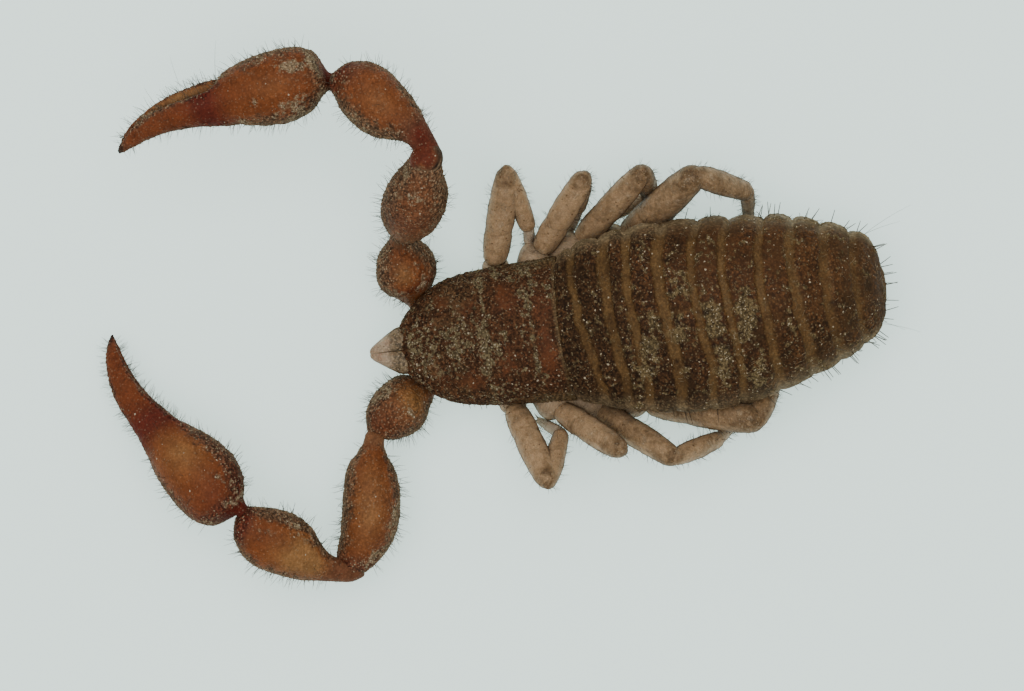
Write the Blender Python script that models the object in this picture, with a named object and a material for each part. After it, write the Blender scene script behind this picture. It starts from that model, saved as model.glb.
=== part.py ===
"""A pseudoscorpion, Allochernes peregrinus, at life size, as a still museum model.

The animal faces -Y, its left side is +X and +Z is up. Lengths in this file are millimetres, and each
finished mesh is scaled to metres. The origin lies on the floor under the middle of the whole footprint.
"""
import math

import bmesh
import bpy
import numpy as np
from mathutils import Matrix, Vector

MM = 0.001
GAP = 0.006
ORIGIN = Vector((-0.2101, -0.3227, 0.0))
SIDES = {"left": 1, "right": -1}

# Trunk levels and front to back places, with 0 at the middle of the carapace's rear edge
COXA_FLOOR = 0.03
COXA_ROOF = 0.195
TRUNK_FLOOR = 0.201

# Carapace: place, half width, top, underside
CARAPACE_ROWS = (
    (-0.838, 0.085, 0.272, 0.228),
    (-0.800, 0.145, 0.300, 0.238),
    (-0.710, 0.236, 0.342, 0.244),
    (-0.600, 0.303, 0.382, 0.228),
    (-0.480, 0.335, 0.414, 0.201),
    (-0.380, 0.347, 0.432, 0.201),
    (-0.200, 0.360, 0.456, 0.201),
    (0.040, 0.374, 0.474, 0.201),
)
REAR_REACH = 0.3
FURROWS = (-0.385, -0.143)
FURROW_DEPTH = 0.014
FURROW_WIDTH = 0.022
CARAPACE_STATIONS = (
    -0.838, -0.815, -0.780, -0.730, -0.665, -0.590, -0.500, -0.430, -0.403, -0.385, -0.367,
    -0.320, -0.240, -0.165, -0.143, -0.121, -0.060, -0.011,
)
CARAPACE_CAP_LEVELS = (0.24, 0.31)
CARAPACE_OVER = 17
CARAPACE_UNDER = 5
CARAPACE_UNDER_REACH = 0.7

# Abdomen: place, half width, top, sideways place of the middle, then how far the left side leans to the
# rear and how far both sides sweep to the rear
ABDOMEN_ROWS = (
    (0.00, 0.377, 0.474, 0.000, 0.012, 0.040),
    (0.12, 0.425, 0.500, 0.000, 0.040, 0.040),
    (0.28, 0.466, 0.545, 0.000, 0.018, 0.040),
    (0.42, 0.486, 0.585, 0.000, 0.000, 0.040),
    (0.60, 0.497, 0.620, 0.000, -0.020, 0.040),
    (0.80, 0.497, 0.642, -0.002, -0.027, 0.040),
    (1.00, 0.479, 0.645, -0.007, -0.015, 0.040),
    (1.20, 0.444, 0.622, -0.024, 0.005, 0.040),
    (1.35, 0.396, 0.575, -0.033, 0.014, 0.040),
    (1.48, 0.342, 0.515, -0.038, 0.012, 0.036),
    (1.56, 0.298, 0.455, -0.040, 0.004, 0.026),
    (1.62, 0.258, 0.400, -0.040, 0.000, 0.016),
    (1.66, 0.218, 0.350, -0.038, 0.000, 0.008),
    (1.69, 0.165, 0.295, -0.036, 0.000, 0.004),
)
SEGMENT_ENDS = (0.0, 0.103, 0.237, 0.361, 0.531, 0.712, 0.877, 1.074, 1.240, 1.386, 1.533, 1.690)
FIRST_ON_FLOOR = 4
WIDEST_PLACES = (0.0, 0.4, 1.1, 1.7)
WIDEST_LEVELS = (0.31, 0.40, 0.33, 0.215)
BELLY_PLACES = (1.2, 1.5, 1.7)
BELLY_LEVELS = (-0.02, 0.02, 0.15)
BELLY_SINK = 0.03
NOTCH = 0.026
PLATE_RISE = 0.014
PLATE_STEPS = (0.0, 0.10, 0.24, 0.32, 0.66, 0.94, 1.0)
PLATE_LEVELS = (0.35, 0.15, 0.10, 0.85, 1.0, 0.85, 0.35)
SIDE_SWELL = 0.3
LOBE_POWER = 0.6
TERGITE_ANGLE = math.radians(58)
STERNITE_ANGLE = math.radians(-38)
ABDOMEN_AROUND = 28
BELLY_POWER = 1.45
BACK_POWER = 2.2
ANAL_CONE_LENGTH = 0.030
# Size of each of the cone's rings, and its place along the cone, as shares
ANAL_CONE_STEPS = ((0.80, 0.0), (0.74, 0.35), (0.58, 0.7), (0.34, 0.95))

# Chelicerae: place ahead of the root, half depth, outer half width
CHELICERA_ROOT = -0.846
CHELICERA_ROWS = (
    (0.000, 0.062, 0.116),
    (0.040, 0.058, 0.096),
    (0.080, 0.047, 0.070),
    (0.115, 0.033, 0.044),
    (0.138, 0.017, 0.021),
)
CHELICERA_LEVEL = 0.225
CHELICERA_SHIFT = 0.016
CHELICERA_AROUND = 12

# Coxae: front and rear place at the middle line, then at the hip, and the hip's distance out
COXAE = {
    "palp_coxa": (-0.825, -0.560, -0.800, -0.520, 0.226),
    "coxa_1": (-0.548, -0.350, -0.508, -0.195, 0.320),
    "coxa_2": (-0.338, -0.180, -0.183, -0.022, 0.335),
    "coxa_3": (-0.168, 0.010, -0.010, 0.135, 0.345),
    "coxa_4": (0.022, 0.345, 0.147, 0.345, 0.358),
}
COXA_POWER = 3.0
COXA_AROUND = 16
# Place from the middle line to the hip, and fullness there
COXA_STEPS = ((0.0, 0.97), (0.12, 1.0), (0.5, 1.0), (0.85, 0.97), (1.0, 0.86))

# Palp links: length, then rows of place along it, inner and outer edge, half depth
TROCHANTER_LENGTH = 0.42
TROCHANTER_ROWS = (
    (-0.15, 0.050, 0.050, 0.055),
    (0.05, 0.085, 0.050, 0.062),
    (0.20, 0.145, 0.076, 0.096),
    (0.42, 0.172, 0.118, 0.160),
    (0.60, 0.168, 0.114, 0.164),
    (0.76, 0.148, 0.086, 0.132),
    (0.90, 0.105, 0.045, 0.075),
    (1.12, 0.050, 0.040, 0.050),
)
FEMUR_LENGTH = 0.665
FEMUR_ROWS = (
    (-0.08, 0.052, 0.052, 0.052),
    (0.05, 0.055, 0.058, 0.056),
    (0.12, 0.070, 0.084, 0.074),
    (0.21, 0.104, 0.134, 0.106),
    (0.32, 0.113, 0.168, 0.140),
    (0.46, 0.108, 0.190, 0.158),
    (0.62, 0.096, 0.200, 0.160),
    (0.76, 0.084, 0.186, 0.146),
    (0.88, 0.084, 0.152, 0.104),
    (0.97, 0.078, 0.116, 0.086),
    (1.06, 0.050, 0.068, 0.062),
    (1.12, 0.015, 0.020, 0.020),
)
PATELLA_LENGTH = 0.66
PATELLA_ROWS = (
    (-0.14, 0.000, 0.040, 0.030),
    (-0.06, 0.034, 0.078, 0.056),
    (0.02, 0.030, 0.104, 0.064),
    (0.11, 0.006, 0.128, 0.070),
    (0.20, 0.000, 0.152, 0.080),
    (0.30, 0.028, 0.180, 0.104),
    (0.42, 0.078, 0.202, 0.128),
    (0.56, 0.102, 0.218, 0.140),
    (0.70, 0.098, 0.224, 0.140),
    (0.82, 0.076, 0.206, 0.126),
    (0.92, 0.050, 0.160, 0.100),
    (1.00, 0.040, 0.112, 0.078),
)
CHELA_LENGTH = 1.18
CHELA_ROWS = (
    (-0.04, 0.042, 0.048, 0.044),
    (0.012, 0.040, 0.062, 0.052),
    (0.030, 0.040, 0.150, 0.098),
    (0.065, 0.060, 0.202, 0.130),
    (0.120, 0.108, 0.236, 0.156),
    (0.200, 0.134, 0.252, 0.170),
    (0.290, 0.125, 0.256, 0.168),
    (0.380, 0.090, 0.245, 0.155),
    (0.450, 0.050, 0.226, 0.140),
    (0.500, 0.022, 0.206, 0.128),
    (0.600, -0.018, 0.194, 0.112),
    (0.720, -0.042, 0.186, 0.090),
    (0.850, -0.036, 0.144, 0.066),
    (0.940, -0.014, 0.084, 0.044),
    (1.000, 0.004, 0.014, 0.014),
)
FINGER_PLACE = 0.46
FINGER_SHARE = 0.47
# Places of rings along the hand, and shares of the way along the fingers
HAND_PLACES = (-0.04, 0.0, 0.015, 0.030, 0.045, 0.065, 0.09, 0.12, 0.17, 0.23, 0.29, 0.35, 0.41, 0.45)
FINGER_PLACES = (0.0, 0.05, 0.15, 0.27, 0.40, 0.54, 0.68, 0.82, 0.92, 1.0)

# Palp pose: turn forward of sideways, rise above level and roll, in degrees, link by link
PALP_HIP = (0.215, -0.700, 0.110)
PALP_HIP_TURN = math.radians(40)
PALP_POSE = {
    "left": ((53, 15, 0), (17, 0, 0), (123, 16, 0), (150, -15, -8)),
    "right": ((12, 34, 50), (-26, 49, 75), (43, -14, 20), (102, -8, 30)),
}

# Leg links: lengths of trochanter, femur, tibia and tarsus, then half widths of the last three
LEG_LENGTHS = {
    1: (0.09, 0.51, 0.36, 0.25),
    2: (0.13, 0.48, 0.28, 0.23),
    3: (0.18, 0.54, 0.36, 0.25),
    4: (0.18, 0.62, 0.38, 0.28),
}
LEG_WIDTHS = {
    1: (0.066, 0.047, 0.030),
    2: (0.063, 0.045, 0.029),
    3: (0.066, 0.051, 0.030),
    4: (0.084, 0.058, 0.033),
}
HIP_PLACES = {1: -0.290, 2: -0.095, 3: 0.045, 4: 0.275}
HIP_LEVEL = 0.105
LEG_POSE = {
    (1, "left"): ((-10, 30), (-18, 37), (-158, -44), 127),
    (1, "right"): ((2, 30), (-15, 26), (-166, -30), 179),
    (2, "left"): ((-33, 25), (-50, 42), (124, -62), 124),
    (2, "right"): ((-32, 30), (-37, 28), (162, -53), 153),
    (3, "left"): ((-48, 6), (-51, 37), (-106, -44), -127),
    (3, "right"): ((-50, 12), (-49, 32), (-170, -70), 116),
    (4, "left"): ((-66, 0), (-73, 20), (-154, -41), 70),
    (4, "right"): ((-60, 0), (-54, 47), (-114, -41), -166),
}
# Place along a leg link, and half width as a share of the link's own
LEG_TROCHANTER_ROWS = ((-0.60, 0.70), (0.0, 0.74), (0.45, 0.86), (0.80, 0.76))
LEG_FEMUR_ROWS = (
    (0.05, 0.74), (0.16, 0.92), (0.29, 0.98), (0.35, 0.92), (0.41, 0.99), (0.60, 1.0),
    (0.80, 0.90), (0.93, 0.76), (1.02, 0.58), (1.09, 0.22),
)
LEG_TIBIA_ROWS = (
    (-0.12, 0.20), (-0.04, 0.62), (0.12, 0.88), (0.40, 1.0), (0.75, 0.90), (1.0, 0.72), (1.10, 0.50),
)
LEG_TARSUS_ROWS = ((-0.10, 0.85), (0.0, 0.98), (0.35, 1.0), (0.75, 0.78), (1.0, 0.60), (1.25, 0.50))
LEG_DEPTH = 1.10
STEEPEST_TARSUS = 0.98
PALP_AROUND = 14
LEG_AROUND = 10

SHARP_ANGLE = math.radians(50)
WELD = 1e-5

# Colours, linear, with roughness
FINISHES = {
    "carapace": ((0.085, 0.030, 0.014), 0.55),
    "abdomen": ((0.110, 0.050, 0.022), 0.60),
    "chelicera": ((0.420, 0.260, 0.180), 0.45),
    "palp": ((0.200, 0.062, 0.016), 0.45),
    "coxa": ((0.300, 0.170, 0.090), 0.50),
    "leg": ((0.330, 0.200, 0.115), 0.50),
}


def smooth(rows, where):
    """Values at the places asked for, on a curve with no corners through the rows (place, value, ...)."""
    table = np.array(rows, float)
    places, values = table[:, 0], table[:, 1:]
    slopes = np.gradient(values, places, axis=0)
    where = np.clip(np.atleast_1d(np.array(where, float)), places[0], places[-1])
    left = np.clip(np.searchsorted(places, where, side="right") - 1, 0, len(places) - 2)
    step = (places[left + 1] - places[left])[:, None]
    t = (where - places[left])[:, None] / step
    start = (1 + 2 * t) * (1 - t) ** 2 * values[left] + t * (1 - t) ** 2 * step * slopes[left]
    end = t**2 * (3 - 2 * t) * values[left + 1] - t**2 * (1 - t) * step * slopes[left + 1]
    return start + end


def clear_scene():
    for obj in list(bpy.data.objects):
        bpy.data.objects.remove(obj)


def finish_of(kind, name):
    colour, roughness = FINISHES[kind]
    material = bpy.data.materials.new(name)
    material.use_nodes = True
    shader = material.node_tree.nodes["Principled BSDF"]
    shader.inputs["Base Color"].default_value = (*colour, 1.0)
    shader.inputs["Roughness"].default_value = roughness
    shader.inputs["Metallic"].default_value = 0.0
    return material


def loft(rings, caps=(None, None)):
    """A closed mesh through rings of points; each end is a fan round its middle, or round the given point."""
    bm = bmesh.new()
    loops = [[bm.verts.new(point) for point in ring] for ring in rings]
    for lower, upper in zip(loops, loops[1:]):
        for j in range(len(lower)):
            k = (j + 1) % len(lower)
            bm.faces.new((lower[j], lower[k], upper[k], upper[j]))
    for loop, ring, cap in ((loops[0], rings[0], caps[0]), (loops[-1], rings[-1], caps[1])):
        middle = bm.verts.new(np.mean(ring, axis=0) if cap is None else cap)
        for j in range(len(loop)):
            bm.faces.new((loop[j], loop[(j + 1) % len(loop)], middle))
    bmesh.ops.recalc_face_normals(bm, faces=bm.faces)
    return bm


def cut(bm, point, normal):
    """Takes away what lies past the plane on the normal's side, and closes the opening flat."""
    whole = bm.verts[:] + bm.edges[:] + bm.faces[:]
    bmesh.ops.bisect_plane(bm, geom=whole, dist=WELD, plane_co=point, plane_no=normal, clear_outer=True)
    rim = [edge for edge in bm.edges if edge.is_boundary]
    bmesh.ops.holes_fill(bm, edges=rim, sides=0)


def place(bm, name, kind):
    """Turns a mesh in millimetres into the named object in metres, with its own material."""
    bmesh.ops.recalc_face_normals(bm, faces=bm.faces)
    bm.transform(Matrix.Scale(MM, 4) @ Matrix.Translation(-ORIGIN))
    mesh = bpy.data.meshes.new(name)
    bm.to_mesh(mesh)
    bm.free()
    mesh.shade_smooth()
    mesh.set_sharp_from_angle(angle=SHARP_ANGLE)
    mesh.materials.append(finish_of(kind, name))
    obj = bpy.data.objects.new(name, mesh)
    bpy.context.scene.collection.objects.link(obj)


def power_arc(angles, power):
    """Points (across, up) of a superellipse of half width and half height 1 at the given angles."""
    across = np.sign(np.cos(angles)) * np.abs(np.cos(angles)) ** (2 / power)
    up = np.sign(np.sin(angles)) * np.abs(np.sin(angles)) ** (2 / power)
    return across, up


def carapace():
    """A domed shield on a flat base, with two furrows across it and a rear edge that sweeps back."""
    arc = np.linspace(0, math.pi, CARAPACE_OVER)
    across, up = power_arc(arc, BACK_POWER)
    under = np.linspace(-CARAPACE_UNDER_REACH, CARAPACE_UNDER_REACH, CARAPACE_UNDER)
    across = np.concatenate([across, under])
    up = np.concatenate([up, np.zeros(CARAPACE_UNDER)])
    lean, sweep = smooth(ABDOMEN_ROWS, 0.0)[0][3:]
    rings = []
    for station in CARAPACE_STATIONS:
        width, top, floor = smooth(CARAPACE_ROWS, station)[0]
        for furrow in FURROWS:
            top -= FURROW_DEPTH * math.exp(-(((station - furrow) / FURROW_WIDTH) ** 2))
        rear = max(0.0, 1 + station / REAR_REACH)
        y = station + rear * (sweep * across**2 + lean * across)
        rings.append(np.stack([width * across, y, floor + (top - floor) * up], axis=1))
    front_level, rear_level = CARAPACE_CAP_LEVELS
    caps = ((0, CARAPACE_STATIONS[0], front_level), (0, CARAPACE_STATIONS[-1], rear_level))
    place(loft(rings, caps), "carapace", "carapace")


def abdomen_ring(y, level, lobe, number):
    """One ring round the abdomen; level 1 is on a plate, and lobe 1 the widest place of a segment's side."""
    width, top, middle, lean, sweep = smooth(ABDOMEN_ROWS, y)[0]
    angles = np.arange(ABDOMEN_AROUND) * 2 * math.pi / ABDOMEN_AROUND
    widest = np.interp(y, WIDEST_PLACES, WIDEST_LEVELS)
    if number < FIRST_ON_FLOOR:
        floor = TRUNK_FLOOR
        deepest = TRUNK_FLOOR - BELLY_SINK
    else:
        floor = 0.0
        deepest = np.interp(y, BELLY_PLACES, BELLY_LEVELS)
    across, up = power_arc(angles, BACK_POWER)
    low_across, low_up = power_arc(angles, BELLY_POWER)
    below = np.sin(angles) < 0
    across = np.where(below, low_across, across)
    up = np.where(below, low_up, up)
    rise = PLATE_RISE * (level - 0.5)
    plated = (np.sin(angles) > math.cos(TERGITE_ANGLE)) | (np.sin(angles) < math.sin(STERNITE_ANGLE))
    swell = np.where(plated, rise, SIDE_SWELL * rise)
    x = (width - NOTCH * (1 - lobe) + swell) * across
    height = np.where(below, widest - deepest, top - widest)
    z = np.maximum(widest + (height + swell) * up, floor)
    share = x / width
    return np.stack([x + middle, y + sweep * share**2 + lean * share, z], axis=1), (middle, y, widest)


def abdomen():
    """Eleven ring segments, each with a raised plate behind a band of soft skin, and the anal cone."""
    for number, (front, rear) in enumerate(zip(SEGMENT_ENDS, SEGMENT_ENDS[1:]), start=1):
        rings = []
        middles = []
        for step, level in zip(PLATE_STEPS, PLATE_LEVELS):
            y = front + GAP / 2 + step * (rear - front - GAP)
            lobe = math.sin(math.pi * step) ** LOBE_POWER
            ring, middle = abdomen_ring(y, level, lobe, number)
            rings.append(ring)
            middles.append(middle)
        place(loft(rings, (middles[0], middles[-1])), f"abdomen_{number:02d}", "abdomen")
    rear = SEGMENT_ENDS[-1] + GAP / 2
    rings = []
    for share, step in ANAL_CONE_STEPS:
        ring, middle = abdomen_ring(rear, PLATE_LEVELS[-1], 0.0, len(SEGMENT_ENDS))
        centre = np.array(middle)
        ring = centre + (ring - centre) * share
        ring[:, 1] += step * ANAL_CONE_LENGTH
        rings.append(ring)
    cap = (middle[0], rear + ANAL_CONE_LENGTH, middle[2])
    place(loft(rings, ((middle[0], rear, middle[2]), cap)), "abdomen_12", "abdomen")


def chelicera(side, sign):
    angles = np.arange(CHELICERA_AROUND) * 2 * math.pi / CHELICERA_AROUND
    rings = []
    for ahead, depth, outer in CHELICERA_ROWS:
        half = (outer - GAP / 2) / 2
        x = sign * (GAP / 2 + half + half * np.cos(angles)) + CHELICERA_SHIFT
        y = np.full(len(angles), CHELICERA_ROOT - ahead)
        rings.append(np.stack([x, y, CHELICERA_LEVEL + depth * np.sin(angles)], axis=1))
    place(loft(rings), f"chelicera_{side}", "chelicera")


def palp_hip(sign):
    """The point and the normal of the plane that parts a palp from its coxa."""
    normal = Vector((sign * math.cos(PALP_HIP_TURN), -math.sin(PALP_HIP_TURN), 0))
    return Vector((sign * PALP_HIP[0], PALP_HIP[1], PALP_HIP[2])), normal


def coxa(name, side, sign):
    """A flat wedge from the middle line out to the hip."""
    front_in, rear_in, front_out, rear_out, reach = COXAE[name]
    across, up = power_arc(np.arange(COXA_AROUND) * 2 * math.pi / COXA_AROUND, COXA_POWER)
    level = (COXA_FLOOR + COXA_ROOF) / 2
    depth = (COXA_ROOF - COXA_FLOOR) / 2
    rings = []
    for t, fullness in COXA_STEPS:
        front = front_in + t * (front_out - front_in)
        rear = rear_in + t * (rear_out - rear_in)
        half = (rear - front) / 2 * fullness
        x = np.full(len(up), sign * (GAP / 2 + t * (reach - GAP)))
        rings.append(np.stack([x, (front + rear) / 2 + half * across, level + depth * fullness * up], axis=1))
    bm = loft(rings)
    if name == "palp_coxa":
        hip, normal = palp_hip(sign)
        cut(bm, hip - normal * GAP / 2, normal)
    place(bm, f"{name}_{side}", "coxa")


def link_axes(sign, turn, rise, roll=0):
    """Along, inner and upper axes of a limb link; its turn forward of sideways, rise and roll are in degrees."""
    turn, rise = math.radians(turn), math.radians(rise)
    flat = Vector((sign * math.cos(turn), -math.sin(turn), 0))
    along = flat * math.cos(rise) + Vector((0, 0, math.sin(rise)))
    inner = Vector((-sign * math.sin(turn), -math.cos(turn), 0))
    upper = Vector((0, 0, math.cos(rise))) - flat * math.sin(rise)
    spin = Matrix.Rotation(math.radians(sign * roll), 3, along)
    return along, spin @ inner, spin @ upper


def link_rings(start, axes, length, rows, around):
    """Elliptic rings along a link, from rows of place, inner edge, outer edge, half depth and lift."""
    along, inner, upper = (np.array(axis) for axis in axes)
    angles = (np.arange(around) + 0.5) * 2 * math.pi / around
    rings = []
    for place_along, inner_edge, outer_edge, depth, lift in rows:
        across = (inner_edge - outer_edge) / 2 + (inner_edge + outer_edge) / 2 * np.cos(angles)
        up = lift + depth * np.sin(angles)
        centre = np.array(start) + along * length * place_along
        rings.append(centre + across[:, None] * inner + up[:, None] * upper)
    return rings


def dense_rows(rows, first, last, count):
    """Rows read off the smooth curve through the given ones, at evenly spaced places, with no lift."""
    where = np.linspace(first, last, count)
    values = smooth(rows, where)
    return [(t, *value, 0.0) for t, value in zip(where, values)]


def mitre(first, second):
    """The normal of the plane that parts two links, midway between their directions."""
    return (first[0] + second[0]).normalized()


def palp(side, sign):
    """Trochanter, femur, patella, hand with the fixed finger, and the movable finger below it."""
    pose = [link_axes(sign, *angles) for angles in PALP_POSE[side]]
    lengths = (TROCHANTER_LENGTH, FEMUR_LENGTH, PATELLA_LENGTH, CHELA_LENGTH)
    hip, hip_normal = palp_hip(sign)
    joints = [hip]
    for axes, length in zip(pose, lengths):
        joints.append(joints[-1] + axes[0] * length)
    normals = [hip_normal] + [mitre(a, b) for a, b in zip(pose, pose[1:])]
    links = (
        ("palp_trochanter", TROCHANTER_ROWS, 9),
        ("palp_femur", FEMUR_ROWS, 15),
        ("palp_patella", PATELLA_ROWS, 15),
    )
    for i, (name, rows, count) in enumerate(links):
        fine = dense_rows(rows, rows[0][0], rows[-1][0], count)
        bm = loft(link_rings(joints[i], pose[i], lengths[i], fine, PALP_AROUND))
        cut(bm, joints[i] + normals[i] * GAP / 2, -normals[i])
        cut(bm, joints[i + 1] - normals[i + 1] * GAP / 2, normals[i + 1])
        place(bm, f"{name}_{side}", "palp")
    rows = [(t, *smooth(CHELA_ROWS, t)[0], 0.0) for t in HAND_PLACES]
    upper_rows = []
    lower_rows = []
    for share in FINGER_PLACES:
        t = FINGER_PLACE + share * (1 - FINGER_PLACE)
        inner_edge, outer_edge, depth = smooth(CHELA_ROWS, t)[0]
        half = depth * FINGER_SHARE
        lift = half + GAP / 2
        upper_rows.append((t, inner_edge, outer_edge, half, lift))
        lower_rows.append((t + GAP / CHELA_LENGTH, inner_edge, outer_edge, half, -lift))
    hand = loft(link_rings(joints[3], pose[3], CHELA_LENGTH, rows + upper_rows, PALP_AROUND))
    cut(hand, joints[3] + normals[3] * GAP / 2, -normals[3])
    place(hand, f"palp_hand_{side}", "palp")
    finger = loft(link_rings(joints[3], pose[3], CHELA_LENGTH, lower_rows, PALP_AROUND))
    place(finger, f"palp_finger_{side}", "palp")


def round_rows(rows, width):
    return [(t, share * width, share * width, share * width * LEG_DEPTH, 0.0) for t, share in rows]


def leg(number, side, sign):
    """Trochanter with femur and patella in one node, then tibia, then tarsus down to the floor."""
    trochanter_length, femur_length, tibia_length, tarsus_length = LEG_LENGTHS[number]
    femur_width, tibia_width, tarsus_width = LEG_WIDTHS[number]
    first, second, third, tarsus_turn = LEG_POSE[number, side]
    reach = COXAE[f"coxa_{number}"][4]
    hip = Vector((sign * reach, HIP_PLACES[number], HIP_LEVEL))
    trochanter = link_axes(sign, *first)
    femur = link_axes(sign, *second)
    tibia = link_axes(sign, *third)
    root = hip + trochanter[0] * trochanter_length
    knee = root + femur[0] * femur_length
    ankle = knee + tibia[0] * tibia_length
    drop = -math.degrees(math.asin(min(STEEPEST_TARSUS, ankle.z / tarsus_length)))
    tarsus = link_axes(sign, tarsus_turn, drop)
    knee_normal = mitre(femur, tibia)
    ankle_normal = mitre(tibia, tarsus)
    root_rows = round_rows(LEG_TROCHANTER_ROWS, femur_width)
    rings = link_rings(hip, trochanter, trochanter_length, root_rows, LEG_AROUND)
    rings += link_rings(root, femur, femur_length, round_rows(LEG_FEMUR_ROWS, femur_width), LEG_AROUND)
    bm = loft(rings)
    cut(bm, hip + Vector((sign * GAP / 2, 0, 0)), Vector((-sign, 0, 0)))
    cut(bm, knee - knee_normal * GAP / 2, knee_normal)
    place(bm, f"leg_{number}_femur_{side}", "leg")
    bm = loft(link_rings(knee, tibia, tibia_length, round_rows(LEG_TIBIA_ROWS, tibia_width), LEG_AROUND))
    cut(bm, knee + knee_normal * GAP / 2, -knee_normal)
    cut(bm, ankle - ankle_normal * GAP / 2, ankle_normal)
    place(bm, f"leg_{number}_tibia_{side}", "leg")
    bm = loft(link_rings(ankle, tarsus, tarsus_length, round_rows(LEG_TARSUS_ROWS, tarsus_width), LEG_AROUND))
    cut(bm, ankle + ankle_normal * GAP / 2, -ankle_normal)
    cut(bm, Vector((0, 0, 0)), Vector((0, 0, -1)))
    place(bm, f"leg_{number}_tarsus_{side}", "leg")


def main():
    clear_scene()
    carapace()
    abdomen()
    for side, sign in SIDES.items():
        chelicera(side, sign)
        for name in COXAE:
            coxa(name, side, sign)
        palp(side, sign)
        for number in LEG_LENGTHS:
            leg(number, side, sign)


main()
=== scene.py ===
"""A pseudoscorpion, Allochernes peregrinus, dressed as a still, life-size museum model.

The animal faces -Y, its left side is +X and +Z is up. Shapes are worked out in millimetres on the same
lines as the solids, with Y = 0 at the middle of the carapace's rear edge, and set down in metres round the
frame's own origin. Every skin is a closed surface of rings between two poles, and its markings are masks
that are stored on its points and read by its material.
"""
import logging
import math
from dataclasses import dataclass, field
from enum import Enum
from typing import Sequence

import bpy
import numpy as np
from numpy.typing import NDArray
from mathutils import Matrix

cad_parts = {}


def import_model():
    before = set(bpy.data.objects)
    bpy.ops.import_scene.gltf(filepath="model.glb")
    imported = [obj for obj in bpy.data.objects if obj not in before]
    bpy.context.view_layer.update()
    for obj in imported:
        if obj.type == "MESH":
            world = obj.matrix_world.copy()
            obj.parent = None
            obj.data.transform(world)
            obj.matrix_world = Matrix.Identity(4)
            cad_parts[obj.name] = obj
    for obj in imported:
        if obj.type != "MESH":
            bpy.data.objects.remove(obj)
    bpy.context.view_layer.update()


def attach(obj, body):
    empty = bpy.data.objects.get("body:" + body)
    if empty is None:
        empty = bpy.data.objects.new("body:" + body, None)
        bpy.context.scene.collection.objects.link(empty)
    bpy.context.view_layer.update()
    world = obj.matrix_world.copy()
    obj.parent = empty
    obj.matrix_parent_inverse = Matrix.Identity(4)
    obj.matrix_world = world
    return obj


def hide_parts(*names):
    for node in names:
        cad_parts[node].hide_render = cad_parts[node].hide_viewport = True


Array = NDArray[np.float64]
Index = NDArray[np.int64]
Pair = tuple[float, float]
Grid = tuple[int, int]
Colour = tuple[float, float, float]
Axes = tuple[Array, Array, Array]
Row = tuple[float, ...]
Socket = bpy.types.NodeSocket
Tree = bpy.types.NodeTree
Material = bpy.types.Material

log = logging.getLogger("pseudoscorpion")

MM = 0.001
ORIGIN = np.array([-0.2101, -0.3227, 0.0])
SIDES = {"left": 1, "right": -1}
GAP = 0.006
FLOOR_REST = 0.0005
# relief is the height of the grains; the materials read it to paint shade in the hollows and light on the
# tops.
MASKS = ("amber", "soft", "side", "crust", "grit", "relief", "tip")
MASK_DEFAULTS = {"relief": 0.5}
BAKE_MAP = "OFBake"
BAKE_PATCH = 0.003
BAKE_MARGIN = 0.02
SMALL_FILL = 0.55
UP = np.array([0.0, 0.0, 1.0])
WHITE = (1.0, 1.0, 1.0, 1.0)


class Slot(Enum):
    """The record's material slots."""

    DARK = "cuticle_dark"
    RED = "cuticle_red"
    PALE = "cuticle_pale"


# Curves and noise


def curve_through(rows: Sequence[Row], where: Array | float) -> Array:
    """Reads the smooth curve through a table, by cubic Hermite pieces with slopes from neighbouring rows.

    Args:
        rows: Rows of place and values, in rising order of place.
        where: Places to read, held inside the table.

    Returns:
        One row of values for each place.
    """
    table = np.array(rows, float)
    places, values = table[:, 0], table[:, 1:]
    slopes = np.gradient(values, places, axis=0)
    spots = np.clip(np.atleast_1d(np.array(where, float)), places[0], places[-1])
    left = np.clip(np.searchsorted(places, spots, side="right") - 1, 0, len(places) - 2)
    step = (places[left + 1] - places[left])[:, None]
    t = (spots - places[left])[:, None] / step
    start = (1 + 2 * t) * (1 - t) ** 2 * values[left] + t * (1 - t) ** 2 * step * slopes[left]
    end = t**2 * (3 - 2 * t) * values[left + 1] - t**2 * (1 - t) * step * slopes[left + 1]
    return start + end


def columns(rows: Sequence[Row], where: Array) -> list[Array]:
    """The values of the smooth curve through a table, each as a column."""
    return [column[:, None] for column in curve_through(rows, where).T]


def line_through(rows: Sequence[Row], where: Array, column: int = 1) -> Array:
    """The values of one column of a table, joined by straight pieces, as a column."""
    table = np.array(rows)
    return np.interp(where, table[:, 0], table[:, column])[:, None]


def held(value: Array) -> Array:
    """The value held between 0 and 1."""
    return np.clip(value, 0, 1)


def bell(away: Array, width: float) -> Array:
    """A bell curve: exp of minus the square of the distance in widths."""
    return np.exp(-((away / width) ** 2))


def circle(count: int) -> Array:
    """Even steps round a full turn."""
    return np.linspace(0, math.tau, count, endpoint=False)


def ring_angles(over: int, under: int) -> Array:
    """Even steps round a ring: some over its top and then some under it."""
    top = np.linspace(0, math.pi, over, endpoint=False)
    return np.concatenate([top, np.linspace(math.pi, math.tau, under, endpoint=False)])


def ease(low: float, high: float, value: Array) -> Array:
    """Smooth step: 0 below low, 1 above high, and 3t² - 2t³ of the share between them."""
    t = held((value - low) / (high - low))
    return t * t * (3 - 2 * t)


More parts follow.
